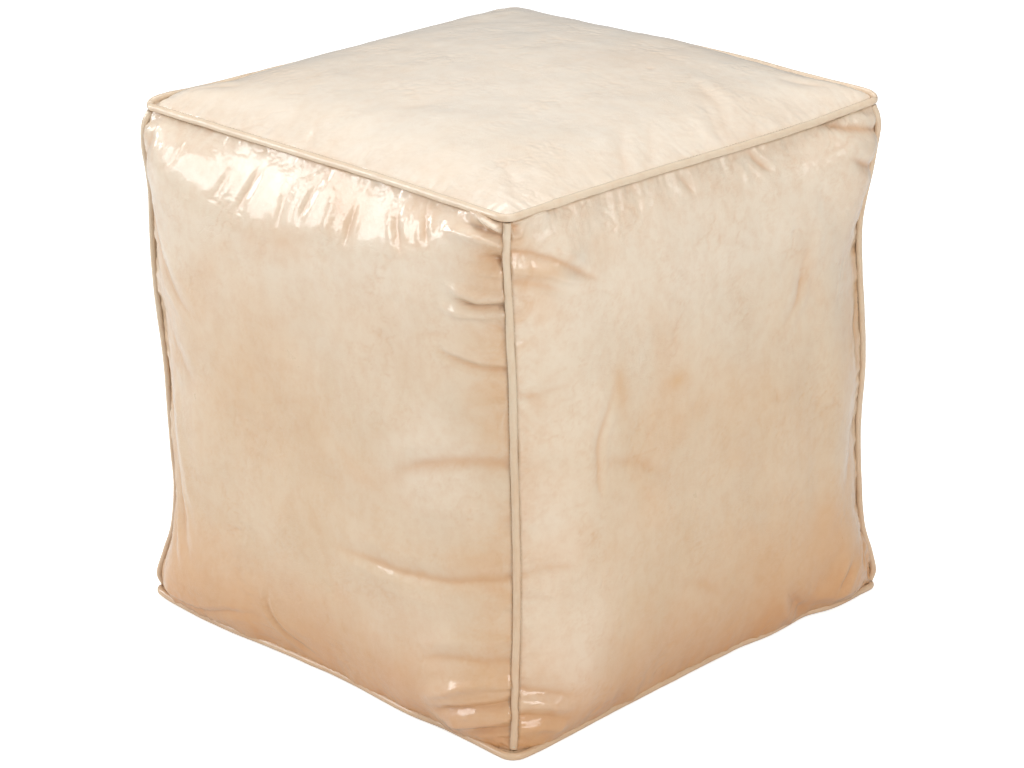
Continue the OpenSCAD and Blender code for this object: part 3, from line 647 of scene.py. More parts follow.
def bridge(ring_a, pa, ring_b, pb):
    """Triangles between two closed rings of vertex numbers with matching places pa and pb in 0..1."""
    tris, i, j = [], 0, 0
    na, nb = len(ring_a), len(ring_b)
    while i < na or j < nb:
        ta = pa[i + 1] if i + 1 < na else 1.0 if i < na else 9
        tb = pb[j + 1] if j + 1 < nb else 1.0 if j < nb else 9
        if j >= nb or (i < na and ta <= tb):
            tris.append((ring_a[i % na], ring_a[(i + 1) % na], ring_b[j % nb]))
            i += 1
        else:
            tris.append((ring_a[i % na], ring_b[(j + 1) % nb], ring_b[j % nb]))
            j += 1
    return np.array(tris)


def interp_matrix(src, dst):
    """Cubic interpolation weights from samples at src to points dst."""
    W = np.zeros((len(dst), len(src)))
    for k in range(len(src)):
        y = np.zeros(len(src))
        y[k] = 1
        W[:, k] = spline(src, y)(dst)
    return W


def leather_shell(name, P, inner, turn_dirs, attributes, thick=1.2):
    """A panel as a closed sheet: P is the fine outer grid; inner is a coarse grid of the back;
    turn_dirs gives the direction in which the leather turns in behind each edge vertex."""
    n, m = P.shape[:2]
    per = perimeter(n, m)
    edge = P[per[:, 0], per[:, 1]]
    d = turn_dirs
    length = np.minimum(8.0, 3.2 + .9 * np.minimum.reduce([np.abs(np.arange(len(per)) - c) for c in (0, n - 1, n + m - 2, 2 * n + m - 3, len(per))]) * 430 / n)
    rings = [edge + d * 1.1, edge + d * 3.0, edge + d * length[:, None]]
    nin, min_ = inner.shape[:2]
    per_in = perimeter(nin, min_)
    verts = [P.reshape(-1, 3)] + rings
    base = n * m
    L = len(per)
    ring_ids = [per[:, 0] * m + per[:, 1]] + [base + L * k + np.arange(L) for k in range(len(rings))]
    faces = [grid_faces(n, m)]
    quads = []
    for a, b in zip(ring_ids[:-1], ring_ids[1:]):
        a2, b2 = np.roll(a, -1), np.roll(b, -1)
        quads.append(np.stack([a, b, b2, a2], -1))
    faces.append(np.concatenate(quads))
    start_in = base + L * len(rings)
    verts.append(inner.reshape(-1, 3))
    faces.append(grid_faces(nin, min_, flip=True, start=start_in))
    ring_in = start_in + per_in[:, 0] * min_ + per_in[:, 1]

    def places(per, n, m):
        c = [0, n - 1, n + m - 2, 2 * n + m - 3, len(per)]
        p = np.zeros(len(per))
        for k in range(4):
            a, b = c[k], c[k + 1]
            p[a:b] = k / 4 + np.arange(b - a) / (b - a) / 4
        return p
    faces.append(bridge(ring_ids[-1], places(per, n, m), ring_in, places(per_in, nin, min_)))
    V = np.concatenate(verts)
    att = {}
    for key, val in attributes.items():
        flat = val.ravel()
        att[key] = np.concatenate([flat, np.tile(val[per[:, 0], per[:, 1]], len(rings)), np.zeros(nin * min_)])
    return make_object(name, V, faces, att)


# ------------------------------------------------------------------ cloth simulation of the five stuffed panels
SIM_N = 92
FINE_N = 272


def sim_surface(name, s, t):
    return top_surface(s, t) if name == "top" else side_surface(SIDES.index(name), s, t)


def run_cloth():
    """The five panels, held along their seams at the shape above, with slightly more leather than
    the shape needs and air pressure behind it, so that the spare leather gathers as it does on a
    stuffed cushion. Returns each panel's movement in mm on the simulation grid."""
    names = SIDES + ["top"]
    s = spacing(SIM_N, .25)
    rest = {}
    V, F, pin, more = [], [], [], []
    start = 0
    for k, nm in enumerate(names):
        P = sim_surface(nm, s, s)
        rest[nm] = P
        U, W = np.meshgrid(s * 430, s * 430, indexing="ij")
        near = np.minimum(np.minimum(U, 430 - U), np.minimum(W, 430 - W))
        nrm = normals_of(P)
        P0 = P + nrm * (.35 * fractal(U / 30, W / 30, 500 + k, 2)[..., None]) * smooth(0, 12, near)[..., None]
        V.append(P0.reshape(-1, 3))
        F.append(grid_faces(SIM_N, SIM_N, start=start))
        edge = np.zeros((SIM_N, SIM_N))
        edge[0], edge[-1], edge[:, 0], edge[:, -1] = 1, 1, 1, 1
        pin.append(edge.ravel())
        corner = np.minimum(np.minimum(np.hypot(U, W), np.hypot(430 - U, W)), np.minimum(np.hypot(U, 430 - W), np.hypot(430 - U, 430 - W)))
        more.append((.35 + .65 * np.exp(-near / 45) * (1 + .6 * np.exp(-corner / 80))).clip(0, 1).ravel())
        start += SIM_N * SIM_N
    o = make_object("cloth_run", np.concatenate(V), F)
    # cloth is simulated ten times larger, where Blender's solver behaves well
    o.data.transform(Matrix.Scale(10, 4))
    pins, grow = o.vertex_groups.new(name="pin"), o.vertex_groups.new(name="grow")
    P, G = np.concatenate(pin), np.concatenate(more)
    pins.add([int(i) for i in np.where(P > 0)[0]], 1.0, "REPLACE")
    for level in np.unique(np.round(G, 2)):
        grow.add([int(i) for i in np.where(np.round(G, 2) == level)[0]], float(level), "REPLACE")
    mod = o.modifiers.new("cloth", "CLOTH")
    c = mod.settings
    c.quality = 7
    c.mass = .35
    c.air_damping = 2.0
    c.tension_stiffness = c.compression_stiffness = 60
    c.shear_stiffness = 30
    c.bending_stiffness = 6.0
    c.tension_damping = c.compression_damping = c.shear_damping = 12
    c.bending_damping = 2
    c.vertex_group_mass = "pin"
    c.pin_stiffness = 1
    c.vertex_group_shrink = "grow"
    c.shrink_min = 0.0
    c.shrink_max = -.022
    c.use_pressure = True
    c.uniform_pressure_force = 3.0
    c.effector_weights.gravity = 0
    mod.collision_settings.use_collision = False
    mod.collision_settings.use_self_collision = False
    scene = bpy.context.scene
    frames = 22
    mod.point_cache.frame_start, mod.point_cache.frame_end = 1, frames + 1
    for f in range(1, frames + 1):
        scene.frame_set(f)
    dg = bpy.context.evaluated_depsgraph_get()
    e = o.evaluated_get(dg)
    co = np.zeros(len(e.data.vertices) * 3, np.float32)
    e.data.vertices.foreach_get("co", co)
    co = co.reshape(-1, 3).astype(float) * 100
    scene.frame_set(1)
    bpy.data.objects.remove(o)
    out = {}
    size = SIM_N * SIM_N
    for k, nm in enumerate(names):
        move = co[k * size:(k + 1) * size].reshape(SIM_N, SIM_N, 3) - rest[nm]
        length = np.linalg.norm(move, axis=-1, keepdims=True)
        cap = 9.0
        move = move * np.minimum(1, cap * np.tanh(length / cap) / np.maximum(length, 1e-6))
        for _ in range(3 if nm == "top" else 2):
            for axis in (0, 1):
                inner = np.take(move, range(1, SIM_N - 1), axis)
                inner = (np.take(move, range(0, SIM_N - 2), axis) + 2 * inner + np.take(move, range(2, SIM_N), axis)) / 4
                if axis == 0:
                    move[1:-1] = inner
                else:
                    move[:, 1:-1] = inner
        out[nm] = move
        note(f"cloth {nm}: moved {length.mean():.2f} mm on average, {length.max():.2f} at most")
    return out, s


MOVES, SIM_S = run_cloth()
note("cloth done")


# ------------------------------------------------------------------ the panels
def fine_panel(name, seed):
    s = spacing(FINE_N, .5)
    P = sim_surface(name, s, s)
    if MOVES[name] is not None:
        W = interp_matrix(SIM_S, s)
        P = P + np.einsum("ia,abk,jb->ijk", W, MOVES[name], W)
    soft = P.copy()
    if name == "top":
        X, Z = P[..., 0], P[..., 1]
    else:
        k = SIDES.index(name)
        X, Z = P @ ALONG[k], P[..., 2]
    d = np.linalg.norm(np.diff(P, axis=0), axis=-1)
    dl = np.concatenate([np.zeros((1, FINE_N)), np.cumsum(d, axis=0)])
    dr = dl[-1:] - dl
    d = np.linalg.norm(np.diff(P, axis=1), axis=-1)
    db = np.concatenate([np.zeros((FINE_N, 1)), np.cumsum(d, axis=1)], axis=1)
    dt = db[:, -1:] - db
    h, crease = detail(name, X, Z, dl, dr, db, dt, seed)
    near = np.minimum(np.minimum(dl, dr), np.minimum(db, dt))
    P = P + normals_of(P) * h[..., None]
    # how far the back of the leather must lie behind the face to stay behind its deepest creases
    deep = np.maximum(0, -h)
    for axis in (0, 1):
        deep = np.maximum.reduce([np.roll(deep, k, axis) for k in range(-7, 8)])
    return P, soft, dict(near=near, crease=crease, tone=tone_field(name, X, Z)), deep


def turn_in_dirs(P, name):
    """Unit directions in which the seam allowance runs, at each edge vertex."""
    n, m = P.shape[:2]
    per = perimeter(n, m)
    c = [0, n - 1, n + m - 2, 2 * n + m - 3]
    if name == "top":
        inward = [np.array(v, float) for v in ((0, 1, 0), (-1, 0, 0), (0, -1, 0), (1, 0, 0))]
        deep = -UP
    else:
        k = SIDES.index(name)
        inward = [UP, -ALONG[k], -UP, ALONG[k]]
        deep = -OUT[k]
    dirs = np.zeros((len(per), 3))
    for q in range(4):
        a, b = c[q], (c[q + 1] if q < 3 else len(per))
        dirs[a:b] = inward[q] + deep
    for q in range(4):
        dirs[c[q]] = inward[q] + inward[q - 1] + deep
    return dirs / np.linalg.norm(dirs, axis=1, keepdims=True)


PANELS = {}
for seed, nm in enumerate(SIDES + ["top"]):
    P, soft, att, sunk = fine_panel(nm, 100 + 40 * seed)
    nc = 48
    idx = np.linspace(0, FINE_N - 1, nc).round().astype(int)
    deep = -UP if nm == "top" else -OUT[SIDES.index(nm)]
    back = soft[np.ix_(idx, idx)].copy()
    # the back of the leather: in behind the face, and drawn away from the seam allowance
    mid = back.mean((0, 1))
    nb = normals_of(back)
    t = np.linspace(-1, 1, nc)
    ring = np.maximum(np.abs(t)[:, None], np.abs(t)[None, :])
    pull = smooth(.9, 1, ring)[..., None]
    lateral = (mid - back) - ((mid - back) @ deep)[..., None] * deep
    lateral /= np.maximum(1, np.linalg.norm(lateral, axis=-1, keepdims=True))
    back = back - nb * (1.6 + sunk[np.ix_(idx, idx)][..., None]) + lateral * pull * 6.5 + deep * pull * 1.2
    PANELS[nm] = leather_shell(nm + "_panel_leather", P, back, turn_in_dirs(P, nm), att)
note("panels done")


# ------------------------------------------------------------------ underside
def underside_panel(sgn, seed):
    n, m = ((300, 170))
    s = spacing(n, .4)
    t = np.linspace(0, 1, m)
    t = .35 * t + .65 * (1 - np.cos(t * np.pi)) / 2
    P = underside(sgn, s, t)
    X, Y = P[..., 0], np.abs(P[..., 1])
    edge_d = np.minimum.reduce([np.linalg.norm(P - P[:, -1:, :], axis=-1),
                                np.linalg.norm(P - P[:1], axis=-1), np.linalg.norm(P - P[-1:], axis=-1)])
    z_seam = P[..., 2]
    flat = smooth(0, 1, shoulder(edge_d, FLOOR_RUN))
    z = z_seam * (1 - flat) + .35 * flat
    dx, dy = np.maximum(0, np.abs(X) - DISH_X), np.maximum(0, Y - DISH_Y)
    dish = 1 - smooth(0, DISH_RUN, np.hypot(dx, dy))
    z = z + (DISH_H + .5 - .35) * dish * smooth(2, 24, edge_d)
    seat = np.clip(1 - dish * 1.5, 0, 1)
    h = .30 * fractal(X / 70, P[..., 1] / 70, seed, 3) + .2 * fractal(X / 22, P[..., 1] / 22, seed + 3, 2)
    wr = fractal(X / 11, P[..., 1] / 60, seed + 6, 2)
    h = h - .35 * np.exp(-(wr / .12) ** 2) * dish * .6
    # little gathers where the slope meets the flat, and beside the outer seam
    h += pleats(X, edge_d, 430, seed + 9, 9, .3, 8)
    z = z + h * smooth(1, 8, edge_d) * (.35 + .65 * (1 - seat)) + .25 * smooth(1, 8, edge_d)
    P[..., 2] = np.maximum(z, .12)
    crease = np.clip(np.exp(-(wr / .12) ** 2) * dish * .5, 0, 1)
    near = np.minimum(edge_d, np.where(np.abs(X) < 163, np.abs(Y - SLOT_Y), 99))
    return P, dict(near=near, crease=crease)


def underside_object(name, sgn, seed):
    P, att = underside_panel(sgn, seed)
    n, m = P.shape[:2]
    idx_i = np.linspace(0, n - 1, 60).round().astype(int)
    idx_j = np.linspace(0, m - 1, 34).round().astype(int)
    back = P[np.ix_(idx_i, idx_j)].copy()
    back[..., 2] += 1.3
    per = perimeter(n, m)
    c = [0, n - 1, n + m - 2, 2 * n + m - 3]
    dirs = np.zeros((len(per), 3))
    inward = [np.array([0, sgn * .35, 1.0]), np.array([-1, 0, 1.0]), np.array([0, -sgn, 1.0]), np.array([1, 0, 1.0])]
    for q in range(4):
        a, b = c[q], (c[q + 1] if q < 3 else len(per))
        dirs[a:b] = inward[q]
    for q in range(4):
        dirs[c[q]] = inward[q] + inward[q - 1]
    dirs /= np.linalg.norm(dirs, axis=1, keepdims=True)
    o = leather_shell_simple(name, P, back, dirs, att, sgn)
    return o


def leather_shell_simple(name, P, back, dirs, att, sgn):
    n, m = P.shape[:2]
    per = perimeter(n, m)
    edge = P[per[:, 0], per[:, 1]]
    k = np.arange(len(per))
    slot = k < n - 1
    reach = np.where(slot, .9, 5.5)
    rings = [edge + dirs * .5, edge + dirs * reach[:, None]]
    L = len(per)
    base = n * m
    ring_ids = [per[:, 0] * m + per[:, 1]] + [base + L * q + np.arange(L) for q in range(2)]
    flip = sgn > 0
    faces = [grid_faces(n, m, flip=flip)]
    quads = []
    for a, b in zip(ring_ids[:-1], ring_ids[1:]):
        a2, b2 = np.roll(a, -1), np.roll(b, -1)
        quads.append(np.stack([a, a2, b2, b] if flip else [a, b, b2, a2], -1))
    faces.append(np.concatenate(quads))
    start = base + 2 * L
    ni, mi = back.shape[:2]
    faces.append(grid_faces(ni, mi, flip=not flip, start=start))
    per_in = perimeter(ni, mi)

    def places(per, n, m):
        c = [0, n - 1, n + m - 2, 2 * n + m - 3, len(per)]
        p = np.zeros(len(per))
        for q in range(4):
            a, b = c[q], c[q + 1]
            p[a:b] = q / 4 + np.arange(b - a) / (b - a) / 4
        return p
    tri = bridge(ring_ids[-1], places(per, n, m), start + per_in[:, 0] * mi + per_in[:, 1], places(per_in, ni, mi))
    faces.append(tri[:, ::-1] if flip else tri)
    a2 = {key: np.concatenate([v.ravel(), np.tile(v[per[:, 0], per[:, 1]], 2), np.zeros(ni * mi)]) for key, v in att.items()}
    return make_object(name, np.concatenate([P.reshape(-1, 3)] + rings + [back.reshape(-1, 3)]), faces, a2)


UNDER_FRONT = underside_object("underside_leather_front", -1, 900)
UNDER_BACK = underside_object("underside_leather_back", 1, 930)
note("underside done")


# ------------------------------------------------------------------ piping
def loop_path(h, rc, z0, which, step):
    """Closed bead path round a rounded square, with its outward horizontal direction."""
    pts, outs = [], []
    for e in range(4):
        x_end = h - rc * (1 - 1 / S2)
        n_arc = max(6, int(rc * .785 / (step * .6)))
        n_str = int(2 * (h - rc) / step)
        phi = np.linspace(np.pi / 4, np.pi / 2, n_arc, endpoint=False)
        xs = np.concatenate([-(h - rc) - rc * np.cos(phi), np.linspace(-(h - rc), h - rc, n_str, endpoint=False),
                             (h - rc) + rc * np.sin(np.linspace(0, np.pi / 4, n_arc, endpoint=False))])
        over = np.clip((np.abs(xs) - (h - rc)) / rc, 0, .9999) * np.sign(xs)
        P = loop_side(e, xs, h, rc, which, z0)
        o = ALONG[e] * over[:, None] + OUT[e] * np.sqrt(1 - over**2)[:, None]
        pts.append(P)
        outs.append(o)
    return np.concatenate(pts), np.concatenate(outs)


def sweep(name, path, outward, closed, profile, radial=None, attributes=None):
    """Sweeps a closed profile (x along outward, y along the third axis) down a path, with flat end caps."""
    n, m = len(path), np.shape(profile)[-2]
    if closed:
        T = np.roll(path, -1, 0) - np.roll(path, 1, 0)
    else:
        T = np.gradient(path, axis=0)
    T /= np.linalg.norm(T, axis=1, keepdims=True)
    O = outward - (outward * T).sum(1, keepdims=True) * T
    O /= np.linalg.norm(O, axis=1, keepdims=True)
    Y = np.cross(T, O)
    prof = np.broadcast_to(np.asarray(profile, float), (n, m, 2)).copy() if np.ndim(profile) == 2 else np.asarray(profile)
    if radial is not None:
        prof = prof * radial[..., None]
    V = path[:, None] + O[:, None] * prof[..., :1] + Y[:, None] * prof[..., 1:]
    i = np.arange(n if closed else n - 1)
    j = np.arange(m)
    a = (i[:, None] * m + j[None]).ravel()
    b = (i[:, None] * m + ((j + 1) % m)[None]).ravel()
    c = (((i + 1) % n)[:, None] * m + ((j + 1) % m)[None]).ravel()
    d = (((i + 1) % n)[:, None] * m + j[None]).ravel()
    faces = [np.stack([a, b, c, d], -1)]
    V = V.reshape(-1, 3)
    if not closed:
        c0, c1 = len(V), len(V) + 1
        V = np.concatenate([V, path[:1], path[-1:]])
        faces.append(np.stack([j, np.full(m, c0), (j + 1) % m], -1))
        faces.append(np.stack([(n - 1) * m + (j + 1) % m, np.full(m, c1), (n - 1) * m + j], -1))
    return make_object(name, V, faces, attributes)


def bead_profile(flange=7.0, half=.95, r=BEAD, count=22):
    """Round bead with its flange behind it, as a closed outline."""
    a0 = np.pi - math.asin(half / r)
    ang = np.linspace(-a0, a0, count)
    arc = np.stack([r * np.cos(ang), r * np.sin(ang)], -1)
    tail = np.array([[-r - flange * .5, half], [-r - flange, half * .9], [-r - flange, -half * .9], [-r - flange * .5, -half]])
    return np.concatenate([arc, tail])


def wrap_wrinkles(length_at, count, seed, strong):
    """Radius factor [along, round] of leather wrapped on a cord: fine cross wrinkles and slight lumps."""
    ang = np.linspace(0, 2 * np.pi, count, endpoint=False)
    L, A = np.meshgrid(length_at, ang, indexing="ij")
    r = 1 + .022 * noise2(L / 9, 2.0 * np.cos(A) + 5, seed) + .016 * noise2(L / 2.6, 3 * np.cos(A) + 9, seed + 1)
    line = noise2(L / 2.2 + .8 * np.sin(A), .8 * np.sin(A) + 7, seed + 2)
    r = r - (.05 * strong[:, None]) * np.exp(-(line / .1) ** 2)
    return r


def arclength(path, closed=False):
    d = np.linalg.norm(np.diff(path, axis=0), axis=1)
    return np.concatenate([[0], np.cumsum(d)])


STEP = 1.15
PROFILE = bead_profile()
NB = len(PROFILE)


def corner_strength(path, h):
    """1 where the piping bends round a corner, 0 on the straights."""
    d = np.minimum(np.abs(np.abs(path[:, 0]) - h), 1e9) + np.abs(np.abs(path[:, 1]) - h)
    return np.exp(-(d / 26.0) ** 2)


def make_loop(name, h, z0, which, tilt, seed, lap=None):
    path, out = loop_path(h, RC, z0, which, STEP)
    L = arclength(path)
    wob = np.stack([noise2(L / 33, L * 0 + 1.5, seed + 5), noise2(L / 27, L * 0 + 4.5, seed + 6)], -1) * .45
    outward = out + UP * tilt
    path = path + out * wob[:, :1] + UP * wob[:, 1:]
    strong = .35 + .9 * corner_strength(path, h) + .35 * np.clip(noise2(L / 40, L * 0 + 8.5, seed + 7), 0, 1)
    radial = wrap_wrinkles(L, NB, seed, strong)
    radial[:, 24:] = 1
    if lap is not None:
        # the strip's end laps over its start: a slightly thicker stretch with a crisp edge
        i0 = int(np.argmin(np.linalg.norm(path - np.array(lap), axis=1)))
        s0 = L[i0]
        ang = np.linspace(0, 2 * np.pi, NB, endpoint=False)
        skew = s0 + 1.0 * np.cos(ang)[None, :]
        x = L[:, None] - skew
        radial = radial * (1 + .105 * smooth(-.5, .5, x) * (1 - smooth(8, 22, x)) - .05 * np.exp(-(x / .7) ** 2))
    o = sweep(name, path, outward, True, PROFILE, radial,
              {"near": np.full(len(path) * NB, 9.0), "crease": np.repeat(np.clip(strong - .5, 0, 1), NB) * .15})
    return o, path, out


def side_xyz(e, x, h, which, z):
    return loop_side(e, np.array([x], float), h, RC, which, z)[0]


TOP_LOOP, top_path, top_out = make_loop("top_piping_leather", AT, ZT, "top", 1.0, 300, lap=side_xyz(1, -163, AT, "top", ZT))
FOOT_LOOP, foot_path, foot_out = make_loop("bottom_piping_leather", AB, ZB, "foot", -.55, 320, lap=side_xyz(2, 60, AB, "foot", ZB))


def upright_path(q, z_lo, z_hi):
    t = np.linspace((z_lo - ZB) / HT, (z_hi - ZB) / HT, int((z_hi - z_lo) / STEP))
    P = upright(q, t)
    sx, sy = [(-1, -1), (1, -1), (1, 1), (-1, 1)][q]
    out = np.tile(np.array([sx, sy, 0]) / S2, (len(t), 1))
    return P, out


UPRIGHTS = []
CORNERS = ["front_left", "front_right", "back_right", "back_left"]
for q, cn in enumerate(CORNERS):
    path, out = upright_path(q, ZB + 4.6, ZT - 4.4)
    L = arclength(path)
    seed = 340 + 20 * q
    wob = np.stack([noise2(L / 30, L * 0 + 1.5, seed + 5), noise2(L / 24, L * 0 + 4.5, seed + 6)], -1)
    side = np.cross(UP, out)
    fade = smooth(0, 14, L) * smooth(0, 14, L[-1] - L)
    path = path + out * (wob[:, :1] * .4 * fade[:, None]) + side * (wob[:, 1:] * .5 * fade[:, None])
    # the ends dip in where they are caught under the loops
    path = path - out * (1.6 * (1 - smooth(0, 10, L)) + 1.2 * (1 - smooth(0, 9, L[-1] - L)))[:, None]
    strong = .3 + .9 * np.exp(-((L[-1] - L - 26) / 16) ** 2) + .5 * np.exp(-(L / 24) ** 2) + .3 * np.clip(noise2(L / 35, L * 0 + 8.5, seed + 7), 0, 1)
    radial = wrap_wrinkles(L, NB, seed, strong)
    radial[:, 24:] = 1
    if q == 1:
        x = L - (L[-1] - 57.0)
        radial = radial * (1 - .085 * smooth(-.6, .6, x) * (1 - smooth(20, 40, x)) - .06 * np.exp(-(x / .8) ** 2))[:, None]
        # a run of needle marks near the foot
        for z in np.arange(18, 44, 3.1):
            radial[:, :22] *= (1 - .045 * np.exp(-((L - z) / .5) ** 2))[:, None]
    UPRIGHTS.append(sweep(f"upright_piping_leather_{cn}", path, out, False, PROFILE, radial,
                          {"near": np.full(len(path) * NB + 2, 9.0), "crease": np.concatenate([np.repeat(np.clip(strong - .5, 0, 1), NB) * .15, [0, 0]])}))
note("piping done")


# ------------------------------------------------------------------ cords inside the piping, twisted from three plies
def twisted_cord(name, path, outward, closed):
    L = arclength(path)
    m = 18
    ang = np.linspace(0, 2 * np.pi, m, endpoint=False)
    turns = max(1, round(L[-1] / 11.0))
    phase = 2 * np.pi * turns * L / L[-1]
    r = 1.78 + .26 * np.abs(np.cos(1.5 * (ang[None, :] - phase[:, None])))
    prof = np.stack([r * np.cos(ang), r * np.sin(ang)], -1)
    return sweep(name, path, outward, closed, prof)


CORDS = []
CORDS.append(("top_piping_cord", twisted_cord("top_cord_cotton", top_path, top_out, True)))
CORDS.append(("bottom_piping_cord", twisted_cord("bottom_cord_cotton", foot_path, foot_out, True)))
for q, cn in enumerate(CORNERS):
    path, out = upright_path(q, ZB + 7, ZT - 7)
    CORDS.append((f"corner_cord_{cn}", twisted_cord(f"upright_cord_cotton_{cn}", path, out, False)))


# ------------------------------------------------------------------ stitches
def capsule_set(name, centres, dirs, ups, length, radius, bow=.25, segs=8, rings=7):
    """Many short threads, each a little arched capsule that dips at both ends."""
    k = len(centres)
    s = np.linspace(-1, 1, rings)
    ang = np.linspace(0, 2 * np.pi, segs, endpoint=False)
    prof = radius * np.sqrt(np.maximum(.04, 1 - s**4))
    side = np.cross(dirs, ups)
    C = centres[:, None, :] + dirs[:, None] * (s[None, :, None] * length / 2) + ups[:, None] * ((1 - s**2)[None, :, None] * bow - bow * .5)
    V = (C[:, :, None] + ups[:, None, None] * (prof[:, None] * np.cos(ang)[None])[None, :, :, None]
         + side[:, None, None] * (prof[:, None] * np.sin(ang)[None])[None, :, :, None])
    per = rings * segs
    V = V.reshape(-1, 3)
    i, j = np.meshgrid(np.arange(rings - 1), np.arange(segs), indexing="ij")
    a = (i * segs + j).ravel()
    b = (i * segs + (j + 1) % segs).ravel()
    c = ((i + 1) * segs + (j + 1) % segs).ravel()
    d = ((i + 1) * segs + j).ravel()
    q = np.stack([a, d, c, b], -1)
    off = (np.arange(k) * per)[:, None, None]
    quads = (q[None] + off).reshape(-1, 4)
    e0 = (np.arange(segs)[None] + (np.arange(k) * per)[:, None])
    e1 = (np.arange(segs)[::-1][None] + (np.arange(k) * per + (rings - 1) * segs)[:, None])
    return make_object(name, V, [quads, e0, e1])


def resample(path, pitch, closed=False, trim=0.0):
    L = arclength(path)
    n = int((L[-1] - 2 * trim) / pitch)
    s = trim + (np.arange(n) + .5) * (L[-1] - 2 * trim) / n
    P = np.stack([np.interp(s, L, path[:, k]) for k in range(3)], -1)
    T = np.stack([np.interp(s + .6, L, path[:, k]) - np.interp(s - .6, L, path[:, k]) for k in range(3)], -1)
    T /= np.linalg.norm(T, axis=1, keepdims=True)
    return P, T


def panel_edge(nm, which, inset):
    """A line on the panel's finished face, inset vertices in from an edge, with the face's normal there."""
    o = PANELS[nm]
    co = np.zeros(len(o.data.vertices) * 3, np.float32)
    o.data.vertices.foreach_get("co", co)
    P = co.reshape(-1, 3)[:FINE_N * FINE_N].reshape(FINE_N, FINE_N, 3).astype(float) * 1000
    N = normals_of(P)
    d = {"left": (slice(inset, inset + 1), slice(None)), "right": (slice(-inset - 1, -inset), slice(None)),
         "bottom": (slice(None), slice(inset, inset + 1)), "top": (slice(None), slice(-inset - 1, -inset))}[which]
    return P[d].reshape(-1, 3), N[d].reshape(-1, 3)


def stitch_line(path, normals, pitch, trim, seed, sink=.08):
    L = arclength(path)
    n = int((L[-1] - 2 * trim) / pitch)
    rng = np.random.default_rng(seed)
    s = trim + (np.arange(n) + .5) * (L[-1] - 2 * trim) / n + rng.normal(0, .12, n)
    at = lambda A, s: np.stack([np.interp(s, L, A[:, k]) for k in range(3)], -1)
    P, N = at(path, s), at(normals, s)
    T = at(path, s + .8) - at(path, s - .8)
    T /= np.linalg.norm(T, axis=1, keepdims=True)
    N = N - (N * T).sum(1, keepdims=True) * T
    N /= np.linalg.norm(N, axis=1, keepdims=True)
    B = np.cross(T, N)
    T2 = T + B * rng.normal(0, .05, n)[:, None]
    T2 /= np.linalg.norm(T2, axis=1, keepdims=True)
    return P - N * sink, T2, N


def stitches(name, lines, length=2.2, radius=.21):
    P = np.concatenate([l[0] for l in lines])
    T = np.concatenate([l[1] for l in lines])
    N = np.concatenate([l[2] for l in lines])
    return capsule_set(name, P, T, N, length, radius)


INSET = 1
lines_top, lines_foot = [], []
lines_up = [[], [], [], []]
for k, nm in enumerate(SIDES):
    P, N = panel_edge(nm, "top", INSET)
    lines_top.append(stitch_line(P, N, 3.5, 8, 700 + k))
    P, N = panel_edge(nm, "bottom", INSET)
    lines_foot.append(stitch_line(P, N, 3.5, 8, 710 + k))
    P, N = panel_edge(nm, "left", INSET)
    lines_up[k].append(stitch_line(P, N, 3.5, 8, 720 + k))
    P, N = panel_edge(nm, "right", INSET)
    lines_up[(k + 1) % 4].append(stitch_line(P, N, 3.5, 8, 730 + k))
for k, w in enumerate(("bottom", "top", "left", "right")):
    P, N = panel_edge("top", w, INSET)
    lines_top.append(stitch_line(P, N, 3.5, 8, 740 + k))
TOP_STITCH = stitches("top_seam_stitches", lines_top)
FOOT_STITCH = stitches("bottom_seam_stitches", lines_foot)
UP_STITCH = [stitches(f"upright_seam_stitches_{CORNERS[q]}", lines_up[q]) for q in range(4)]
zip_stitch = []
for sgn in (-1, 1):
    ls = []
    for y in (9.2, 13.4):
        x = np.linspace(-166, 166, 500)
        path = np.stack([x, np.full_like(x, sgn * y), np.full_like(x, DISH_H + .32)], -1)
        ls.append(stitch_line(path, np.tile(-UP, (500, 1)), 3.2, 2, 760 + int(y) + sgn, sink=0))
    zip_stitch.append(stitches("zip_stitches_" + ("front" if sgn < 0 else "back"), ls))
note("stitches done")


# ------------------------------------------------------------------ zip: tapes and separate teeth
tz0, tz1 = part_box("zip_tape_front")
TAPE_Z0, TAPE_Z1, TAPE_X = tz0.z * 1000, tz1.z * 1000, tz1.x * 1000
cz = (TAPE_Z0 + TAPE_Z1) / 2
tlo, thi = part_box("zip_teeth_front")
CHAIN_X0, PITCH, SPINE = tlo.x * 1000, 3.0, 3.0
TEETH = int(round((thi.x - tlo.x) * 1000 / PITCH))


def tape(name, sgn):
    n, m = (400, 20)
    x = np.linspace(-TAPE_X, TAPE_X, n)
    y = np.linspace(SPINE + .1, 16.05, m)
    X, Y = np.meshgrid(x, y, indexing="ij")
    rib = .05 * np.cos(Y * 2 * np.pi / 1.3)
    wave = .10 * noise2(X / 18, Y / 8, 770 + sgn)
    top = np.stack([X, sgn * Y, TAPE_Z1 - .03 + 0 * X + rib + wave], -1)
    bot = np.stack([X, sgn * Y, TAPE_Z0 + .03 + 0 * X - rib + wave], -1)
    V = np.concatenate([top.reshape(-1, 3), bot.reshape(-1, 3)])
    flip = sgn < 0
    faces = [grid_faces(n, m, flip=flip), grid_faces(n, m, flip=not flip, start=n * m)]
    per = perimeter(n, m)
    a = per[:, 0] * m + per[:, 1]
    b = a + n * m
    a2, b2 = np.roll(a, -1), np.roll(b, -1)
    faces.append(np.stack([a, a2, b2, b] if flip else [a, b, b2, a2], -1))
    return make_object(name, V, faces)


